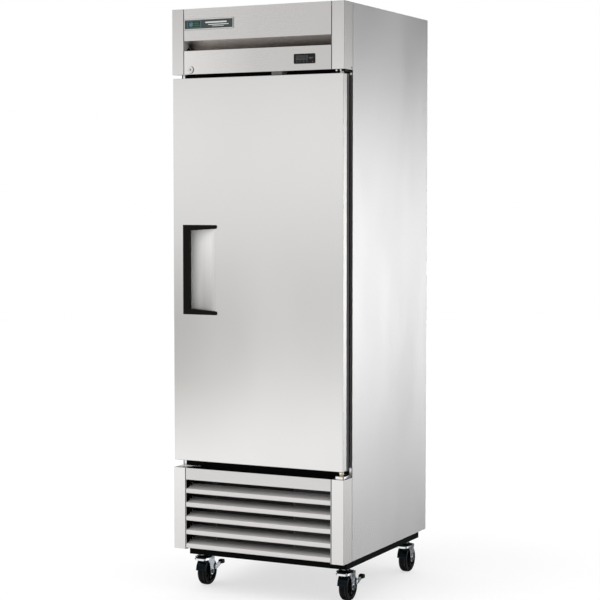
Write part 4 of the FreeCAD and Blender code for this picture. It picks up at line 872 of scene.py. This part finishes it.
def make_lower_hinge(start, end, foot):
    """Lower hinge bracket with its pin and rivets, on a black pad that paints the shadow under it, and under
    a brass collar.
    """
    shelf = foot + 12
    lower = bmesh.new()
    pan(lower, start, end, 9, [(0.9, foot + 1.1), (0.2, foot + 2), (0, foot + 3), (0, shelf - 1.2),
                               (1.2, shelf)], "z")
    lathe(lower, HINGE_AXIS, [(8, shelf + 7), (8, shelf + 11.8)], "z")
    lathe(lower, HINGE_AXIS, [(6, shelf), (6, shelf + 31)], "z")
    for spot in BRACKET_RIVETS:
        lathe(lower, spot, [(4.2, shelf - 0.5), (4.2, shelf + 0.4), (2.6, shelf + 1.6)], "z", count=FINE)
    add_piece("hinge_lower", lower, "hinge_plate", stands_for=("hinge_brackets",))
    # Painted shadow: a black pad under the bracket
    pressed("hinge_shadow_pad", "black_sealant",
            (start, end, 9, [(0.3, foot), (0.3, foot + 1.2)], "z"))
    collar = bmesh.new()
    lathe(collar, HINGE_AXIS, [(6.1, shelf), (6.9, shelf + 0.6), (6.9, shelf + 6), (6.1, shelf + 7)], "z",
          closed=True)
    add_piece("hinge_collar", collar, "brass")


def make_upper_hinge(start, end, top):
    """Upper hinge bracket in zinc darkened as painted shade, with its pin and the screws in its edge."""
    roof = top - 8
    steps = [(0.8, roof), (0, roof + 0.8), (0, top - 0.4), (0.4, top)]
    # Painted shade: the bracket is darkened zinc
    pressed("hinge_upper", "dark_zinc", (start, end, 9, steps, "z"))
    pins = bmesh.new()
    lathe(pins, HINGE_AXIS, [(6, roof - 21), (6, roof)], "z")
    edge = start[1]
    head = [(3.2, edge + 0.3), (3.2, edge - 0.5), (2, edge - 0.9)]
    for x in BRACKET_SCREWS:
        lathe(pins, (x, roof + 3.6), head, "y", count=FINE)
    add_piece("hinge_pins", pins, "bright_metal")


def make_hinges():
    """Hinge brackets, and the blank that covers the unused hinge seat."""
    low, high = box_of("hinge_brackets")
    start, end = (BRACKET_LEFT, low.y), (high.x, high.y)
    make_lower_hinge(start, end, low.z)
    make_upper_hinge(start, end, high.z)
    steps = [(0, low.z), (0, low.z + 2.4), (0.6, low.z + 3)]
    pressed("hinge_blank", "hinge_plate",
            ((low.x, low.y + 46), (low.x + 80, high.y), 2, steps, "z"))


def make_post_details():
    """Black strips that paint the shade in the joints between posts and sides, and black discs that paint
    the shade in the small hole of each header post.
    """
    low, high = box_of("corner_posts")
    joint = (high.y + 0.15, high.y + 2.4)
    hole = (low.y + 61, box_of("header_panel")[0].z + 7.5)
    gap_shade = bmesh.new()
    for side in (-1, 1):
        face = side * high.x
        block(gap_shade, (joint[0], low.z + 1), (joint[1], high.z - 9), 0,
              (face - side * 1.6, face - side * 0.25), "x")
        lathe(gap_shade, hole, [(1.74, face - side * 1.2), (1.74, face - side * 0.2)], "x", count=FINE)
    add_piece("post_joint_shade", gap_shade, "black_sealant")


# ---------------------------------------------------------------- door pieces

# Folds of the gasket: inset, and share of its depth
FOLDS = ((2, 0.0), (0, 0.13), (3, 0.3), (0.5, 0.47), (3.5, 0.64), (0.8, 0.84), (3, 0.985), (7, 1.0),
         (21, 1.0), (24.5, 0.9), (22, 0.7), (24.5, 0.48), (21.5, 0.28), (25, 0.1), (23, 0.0))
# Pressed steps of the inner panel: inset, and rise over its front
LINER_STEPS = ((0, 0.0), (0, 2.2), (1.8, 3.7), (34, 3.7), (37, 1.4), (44, 1.4), (47, 3.8), (52, 4.0))


def make_gasket():
    """Bellows gasket: folded sides and the flat magnet face that meets the cabinet."""
    low, high, front, rear = front_of("door_gasket")
    steps = [(inset, front + share * (rear - front)) for inset, share in FOLDS]
    pressed("gasket_bellows", "gasket_rubber", (low, high, 6, steps, "y", True), "door",
            ("door_gasket",))


def make_door_liner():
    """Inner panel of the door, with a pressed groove around its raised field."""
    low, high, front, _ = front_of("door_liner")
    steps = [(inset, front + rise) for inset, rise in LINER_STEPS]
    pressed("door_inner_panel", "white_liner", (low, high, 14, steps, "y"), "door",
            ("door_liner",))


# ---------------------------------------------------------------- cavity pieces

# Guard of the fan: radii of its rings and the reach of its spokes
GUARD_RINGS = (20, 34, 48, 62, 78)
SPOKE_REACH = (20, 82)
# Fans: radius of the hub, points out along a blade and across it, and half its thickness
HUB = 18
OUTWARD, ACROSS = 7, 7
BLADE_HALF = 0.8


def make_interior_light():
    """Lamp holder with its ribbed lens."""
    low, high, front, rear = front_of("interior_light")
    seat = front + 10.5
    holder = [(0, front), (0, seat - 2), (2, seat)]
    lens = [(0, seat), (0, rear - 5), (3, rear - 1), (7, rear)]
    pressed("light_holder", "grey_plastic", (low, high, 4, holder, "y"),
            stands_for=("interior_light",))
    pressed("light_lens", "lamp_lens",
            (shifted(low, 10, 4), shifted(high, -10, -4), 5, lens, "y"))


def make_fan_guard():
    """Wire guard over the mouth of the evaporator cover."""
    fan = middle_of("evaporator_fan")
    centre = (fan.x, fan.z)
    depth = box_of("evaporator_cover")[0].y - 2
    guard = bmesh.new()
    for radius in GUARD_RINGS:
        ring(guard, centre, radius, 1.2, depth, "y")
    for spoke in range(6):
        inner, outer = [around(centre, reach, math.radians(60 * spoke)) for reach in SPOKE_REACH]
        bar(guard, (inner[0], depth, inner[1]), (outer[0], depth, outer[1]), 1.4, WIRE_ROUND)
    add_piece("fan_guard", guard, "shelf_wire")


def blade_point(reach, out, across, face):
    """Radius, turn and depth of a point on a blade, by its share of the way out and across, and its face."""
    radius = HUB - 1 + (reach - HUB) * out
    pitch = math.radians(38 - 18 * out)
    width = 22 + 22 * math.sin(math.pi * (0.25 + 0.6 * out))
    camber = 3 * (1 - 4 * across * across)
    depth = across * width * math.sin(pitch) + camber + face * BLADE_HALF
    return radius, across * width * math.cos(pitch) / radius, depth * 0.85


def make_blade(fan, middle, reach, base):
    """Curved, twisted blade: two faces joined along three borders; the fourth is inside the hub."""
    sheets = []
    for face in (-1, 1):
        rows = []
        for i in range(OUTWARD):
            row = []
            for j in range(ACROSS):
                radius, turn, depth = blade_point(reach, i / (OUTWARD - 1), j / (ACROSS - 1) - 0.5, face)
                x, z = around((middle.x, middle.z), radius, base + turn)
                row.append(fan.verts.new((x, middle.y + depth, z)))
            rows.append(row)
        skin(fan, rows)
        sheets.append(rows)
    for end in (0, -1):
        skin(fan, [[row[end] for row in rows] for rows in sheets])
    skin(fan, [rows[-1] for rows in sheets])


def make_fan(name):
    """Axial fan: domed hub with its blades."""
    low, high = box_of(name)
    middle = middle_of(name)
    reach = (high.x - low.x) / 2 - 1
    fan = bmesh.new()
    dome = ((HUB - 6, -9.5), (HUB - 1.5, -8), (HUB, -5), (HUB, 10), (HUB - 3, 10))
    lathe(fan, (middle.x, middle.z), [(radius, middle.y + depth) for radius, depth in dome], "y")
    for blade in range(5):
        make_blade(fan, middle, reach, math.radians(72 * blade))
    add_piece(name + "_blades", fan, "black_plastic", name, (name,))


# ---------------------------------------------------------------- casters

# Distance of the wheel axle behind the swivel axis
TRAIL = 27
# Outlines seen from the side: the fork by distance behind the swivel, the pedal by distance behind the axle
FORK_SIDE = ((-31, 107), (46, 107), (47, 99), (45, 82), (41, 64), (39.5, 50), (36, 42), (30, 38.8),
             (24, 38.8), (18, 42), (16, 50), (14.5, 66), (9, 84), (0, 95), (-12, 100.5), (-30, 102.5))
PEDAL_SIDE = ((13, 64), (15, 58), (22, 55), (40, 60), (63, 69), (65, 75), (62, 80), (44, 78), (22, 78),
              (15, 73))
# Turned forms: radius and depth. The wheel is given by half, from its bore to its tread
CROWN_STEPS = ((0, 99), (0, 106), (2, 108), (14, 108), (14, 106.4), (2.4, 106.4), (2.2, 99))
RACE = ((6.3, 107.9), (31, 108.1), (31, 111), (28, 112.2), (24, 112.6), (22.5, 116), (19, 116.8),
        (6.3, 116.8))
BOLT_HEAD = ((11, 21.85), (11, 23), (10.3, 23.6))
NUTS = (((8, 23.5), (8, 26), (6.6, 27)), ((8, -23.5), (8, -26.8), (6.8, -27.5)))
HALF_WHEEL = ((6.2, 17), (13.2, 17), (14, 16.2), (14.6, 9.6), (16, 8.8), (30, 8.8), (32, 9.6), (35, 14.8),
              (37, 16), (43.5, 16), (47.2, 14.6), (49.6, 11.2), (50.5, 7), (50.8, 2.5))
WEB_RIB = ((14, 1.5), (33, 1.2), (33, -1.2), (14, -1.5))
# Painted highlight bands around the tread: middle and half width, and their inner and outer radius
TREAD_HIGHLIGHTS = ((-9.6, 1.0), (9.6, 0.6))
HIGHLIGHT_INNER, HIGHLIGHT_OUTER = 48.75, 50.05
# Hood over the wheel: inner radius, outer radius at its start, how much it thins, and its arc in degrees
HOOD_INNER, HOOD_OUTER, HOOD_TAPER = 52.4, 60.5, 7.8
HOOD_START, HOOD_STEP, HOOD_STEPS = 104, 5.5, 12


def hood_section(axle):
    """Section of the hood around the wheel axle; it thins toward the rear."""
    shares = [step / HOOD_STEPS for step in range(HOOD_STEPS + 1)]
    turns = [math.radians(HOOD_START + HOOD_STEP * step) for step in range(HOOD_STEPS + 1)]
    outer = [around(axle, HOOD_OUTER - HOOD_TAPER * share, turn) for share, turn in zip(shares, turns)]
    return outer + [around(axle, HOOD_INNER, turn) for turn in reversed(turns)]


def make_fork(corner):
    """Fork: pressed legs under a bright crown, swivel race and hood in zinc darkened as painted shade, axle
    bolt and nut.
    """
    x, axle, height = middle_of(f"caster_wheel_{corner}")
    swivel = axle - TRAIL
    spot = (axle, height)
    body = f"caster_fork_{corner}"
    fork = bmesh.new()
    for sign in (-1, 1):
        plate(fork, moved(FORK_SIDE, swivel), "x", (x + sign * 19, x + sign * 21.8))
    add_piece(f"fork_{corner}", fork, "zinc_plate", body, (body,), 0.7)
    pressed(f"crown_{corner}", "crown_plate",
            ((x - 22, swivel - 32), (x + 22, swivel + 48), 12, CROWN_STEPS, "z", True), body)
    bolts = bmesh.new()
    for sign in (1, -1):
        lathe(bolts, spot, [(radius, x + sign * depth) for radius, depth in BOLT_HEAD], "x")
    bar(bolts, (x - 21.9, *spot), (x + 21.9, *spot), 5.9)
    add_piece(f"axle_{corner}", bolts, "crown_plate", body)
    nuts = bmesh.new()
    for nut in NUTS:
        loft(nuts, [(circle(spot, radius, 6, 0.3), x + depth) for radius, depth in nut], "x")
    add_piece(f"axle_nuts_{corner}", nuts, "dark_steel", body)
    # Race and hood in zinc darkened as painted shade
    hood = bmesh.new()
    lathe(hood, (x, swivel), RACE, "z", closed=True)
    plate(hood, hood_section(spot), "x", (x - 18.9, x + 18.9))
    add_piece(f"hood_{corner}", hood, "dark_zinc", body)


def make_wheel(corner):
    """Moulded wheel: crowned tread, rim step and a ribbed web around the hub, with painted highlight bands
    on the tread.
    """
    node = f"caster_wheel_{corner}"
    x, *spot = middle_of(node)
    profile = [(radius, x + depth) for radius, depth in HALF_WHEEL]
    profile += [(radius, x - depth) for radius, depth in reversed(HALF_WHEEL)]
    wheel = bmesh.new()
    lathe(wheel, spot, profile, "x", closed=True, count=WHEEL_ROUND)
    for sign in (-1, 1):
        for rib in range(8):
            side = turned(WEB_RIB, spot, math.radians(45 * rib))
            plate(wheel, side, "x", (x + sign * 8.6, x + sign * 12.4))
    add_piece(f"wheel_{corner}", wheel, "caster_tread", node, (node,))
    # Painted highlight bands of lighter rubber around the tread
    highlight_bands = bmesh.new()
    for middle, half in TREAD_HIGHLIGHTS:
        start, end = x + middle - half, x + middle + half
        section = ((HIGHLIGHT_INNER, start), (HIGHLIGHT_OUTER, start), (HIGHLIGHT_OUTER, end), (HIGHLIGHT_INNER, end))
        lathe(highlight_bands, spot, section, "x", closed=True, count=WHEEL_ROUND)
    add_piece(f"tread_line_{corner}", highlight_bands, "tread_line", node)


def make_pedal(corner):
    """Side brake: plated arm with its pivot boss, and a ribbed toe pad."""
    node = f"brake_pedal_{corner}"
    x, axle, _ = middle_of(f"caster_wheel_{corner}")
    arm = bmesh.new()
    plate(arm, moved(PEDAL_SIDE, axle), "x", (x + 24, x + 26.6))
    lathe(arm, (axle + 20, 67), [(6.5, x + 26.5), (6.5, x + 28), (4, x + 29.2)], "x", count=FINE)
    add_piece(f"pedal_arm_{corner}", arm, "zinc_plate", node, (node,), 0.6)
    pad = bmesh.new()
    pan(pad, (axle + 57, 69), (axle + 78, 82.6), 3.5,
        [(1.5, x + 14), (0, x + 15.5), (0, x + 30.5), (1.5, x + 32)], "x")
    for rib in range(5):
        y = axle + 60 + 3.6 * rib
        pan(pad, (y, 80), (y + 1.8, 84), 0.8, [(0.3, x + 15), (0.3, x + 31)], "x")
    add_piece(f"pedal_pad_{corner}", pad, "black_plastic", node)


# ---------------------------------------------------------------- rear pieces

SCREW_ROWS = 7


def make_screws():
    """Hexagon washer-head screws down both edges of the rear panel."""
    low, high = box_of("cabinet_screws")
    rear = high.y
    sheet = rear - 1
    first, last = low.z + 4, high.z - 4
    screws = bmesh.new()
    for x in (low.x + 4, high.x - 4):
        for step in range(SCREW_ROWS):
            spot = (x, first + (last - first) * step / (SCREW_ROWS - 1))
            lathe(screws, spot, [(4, sheet), (4, sheet + 0.25), (3.2, sheet + 0.45)], "y", count=FINE)
            lathe(screws, spot, [(2.9, sheet + 0.3), (2.9, rear - 0.15), (2.4, rear)], "y", count=6)
    add_piece("rear_screws", screws, "bright_metal", stands_for=("cabinet_screws",))


def make_pieces():
    make_badge()
    make_controller()
    make_lock()
    make_groove_ends()
    make_louver_rivets()
    make_condenser()
    make_hinges()
    make_post_details()
    make_gasket()
    make_door_liner()
    make_interior_light()
    make_fan_guard()
    make_fan("evaporator_fan")
    make_fan("condenser_fan")
    for corner in ("front_left", "front_right", "rear_left", "rear_right"):
        make_fork(corner)
        make_wheel(corner)
        if corner.startswith("front"):
            make_pedal(corner)
    make_screws()


# ---------------------------------------------------------------- stage, light and camera

FLOOR_GLOW = 0.62

# Brightness of the studio against the elevation looked along, in degrees: ahead of the door, and behind the
# right side
FRONT_STUDIO = ((-90, 0.85), (-18, 0.85), (-11.5, 0.84), (-10, 0.94), (-8.7, 1.42), (-7.7, 1.24),
                (-6.7, 0.93), (-5.4, 0.64), (-4, 0.63), (-2.7, 0.72), (-1.3, 0.86), (0, 0.94), (1.3, 1.03),
                (2.4, 1.05), (3.4, 1.0), (4.3, 0.94), (5.5, 0.72), (8, 0.52), (15, 0.46), (27, 0.82),
                (45, 1.1), (90, 0.9))
BACK_STUDIO = ((-90, 0.5), (-18, 0.46), (-11.4, 0.46), (-10, 0.58), (-8.7, 0.72), (-7.7, 0.83), (-6.7, 0.92),
               (-5.4, 1.03), (-4, 1.12), (-2.7, 1.15), (-1.3, 1.14), (0, 1.08), (1.3, 0.99), (2.4, 0.86),
               (3.4, 0.69), (4.3, 0.55), (5.1, 0.44), (6, 0.36), (12, 0.34), (30, 0.8), (90, 0.9))
# Gain of the back light against how far the direction looked along leans to the side
BACK_REACH = ((0, 0.6), (0.2, 0.15), (0.46, 0.0), (0.56, 3.45), (0.64, 3.45), (0.75, 1.0), (1, 1.0))
# Dark flags at both sides, which draw the edges of the steel: leaning of the direction against the gain
SIDE_FLAGS = ((-1, 1.0), (-0.5, 1.0), (-0.15, 0.06), (0.15, 0.06), (0.5, 1.0), (1, 1.0))
# Direction of the light ahead of the door, and how far the directions between front and back blend
AHEAD = (-0.43, -0.90, 0)
BLEND = 0.75
STUDIO_WHITE = 1.0
AMBIENT = 0.86


def make_floor():
    """Plain pale floor under the object; it is left out of reflections, which show the studio instead."""
    shape = bmesh.new()
    bmesh.ops.create_circle(shape, cap_ends=True, segments=128, radius=14)
    mesh = bpy.data.meshes.new("floor")
    shape.to_mesh(mesh)
    shape.free()
    floor = put_object("floor", mesh)
    finish = Finish("floor_paint", (0.36, 0.36, 0.36), 0.9)
    finish.set("Base Color", finish.ramp(finish.noise(2, 3), (0.355,) * 3, (0.365,) * 3))
    finish.set("Emission Color", (1, 1, 1))
    finish.set("Emission Strength", FLOOR_GLOW)
    mesh.materials.append(finish.material)
    floor.visible_glossy = False


def gradient(nodes, value, stops):
    """Grey level against a value from -1 to 1."""
    ramp = nodes.add("ValToRGB", {"Fac": nodes.span(value, 0, 1, -1, 1)})
    elements = ramp.color_ramp.elements
    for _ in range(len(stops) - 2):
        elements.new(0.5)
    for element, (spot, light) in zip(elements, stops):
        element.position = (spot + 1) / 2
        element.color = (light, light, light, 1)
    return ramp.outputs["Color"]


def by_elevation(stops):
    return [(math.sin(math.radians(elevation)), light) for elevation, light in stops]


def product(nodes, first, second):
    return nodes.add("VectorMath", {0: first, 1: second}, operation="MULTIPLY").outputs["Vector"]


def make_studio():
    """White room: plain white to look at, an even fill, and soft bands of light for the steel to reflect."""
    world = bpy.data.worlds.new("studio")
    bpy.context.scene.world = world
    world.use_nodes = True
    nodes = Nodes(world.node_tree)
    direction = nodes.add("TexCoord", {}).outputs["Generated"]
    split = nodes.add("SeparateXYZ", {"Vector": direction}).outputs
    aside = nodes.math("ABSOLUTE", split["X"])
    bearing = nodes.add("VectorMath", {0: direction, 1: AHEAD}, operation="DOT_PRODUCT").outputs["Value"]
    limits = {"Value": bearing, "From Min": -BLEND, "From Max": BLEND}
    turn = nodes.add("MapRange", limits, interpolation_type="SMOOTHSTEP").outputs["Result"]
    behind = product(nodes, gradient(nodes, split["Z"], by_elevation(BACK_STUDIO)),
                     gradient(nodes, aside, BACK_REACH))
    ahead = gradient(nodes, split["Z"], by_elevation(FRONT_STUDIO))
    bands = product(nodes, nodes.mix(turn, behind, ahead), gradient(nodes, bearing, SIDE_FLAGS))
    path = nodes.add("LightPath", {}).outputs
    fill = nodes.mix(path["Is Diffuse Ray"], bands, (AMBIENT,) * 3)
    seen = nodes.mix(path["Is Camera Ray"], fill, (STUDIO_WHITE,) * 3)
    nodes.put(nodes.tree.nodes["Background"].inputs["Color"], seen)


def make_lamp(name, toward, strength, spread):
    """Broad far lamp along a direction; it lights paint and plastic, and stays out of reflections."""
    lamp = bpy.data.lights.new(name, "SUN")
    lamp.energy = strength
    lamp.angle = math.radians(spread)
    thing = put_object(name, lamp)
    thing.rotation_euler = Vector(toward).to_track_quat("-Z", "Y").to_euler()
    thing.visible_glossy = False


def make_lights():
    make_lamp("key", (0.45, 0.62, -0.95), 0.95, 50)
    make_lamp("fill", (-0.75, 0.35, -0.6), 0.35, 60)
    make_lamp("rear", (-0.2, -0.8, -0.6), 0.25, 60)


def make_camera():
    lens = bpy.data.cameras.new("camera")
    lens.sensor_width = 36
    lens.lens = CAMERA_LENS
    lens.clip_end = 60
    camera = put_object("camera", lens)
    camera.location = CAMERA_PLACE
    camera.rotation_euler = (math.pi / 2 + CAMERA_PITCH, 0, CAMERA_YAW)
    bpy.context.scene.camera = camera


def make_stage():
    make_floor()
    make_studio()
    make_lights()
    make_camera()
    bpy.context.scene.view_settings.view_transform = "Standard"


dress_nodes()
make_pieces()
make_stage()
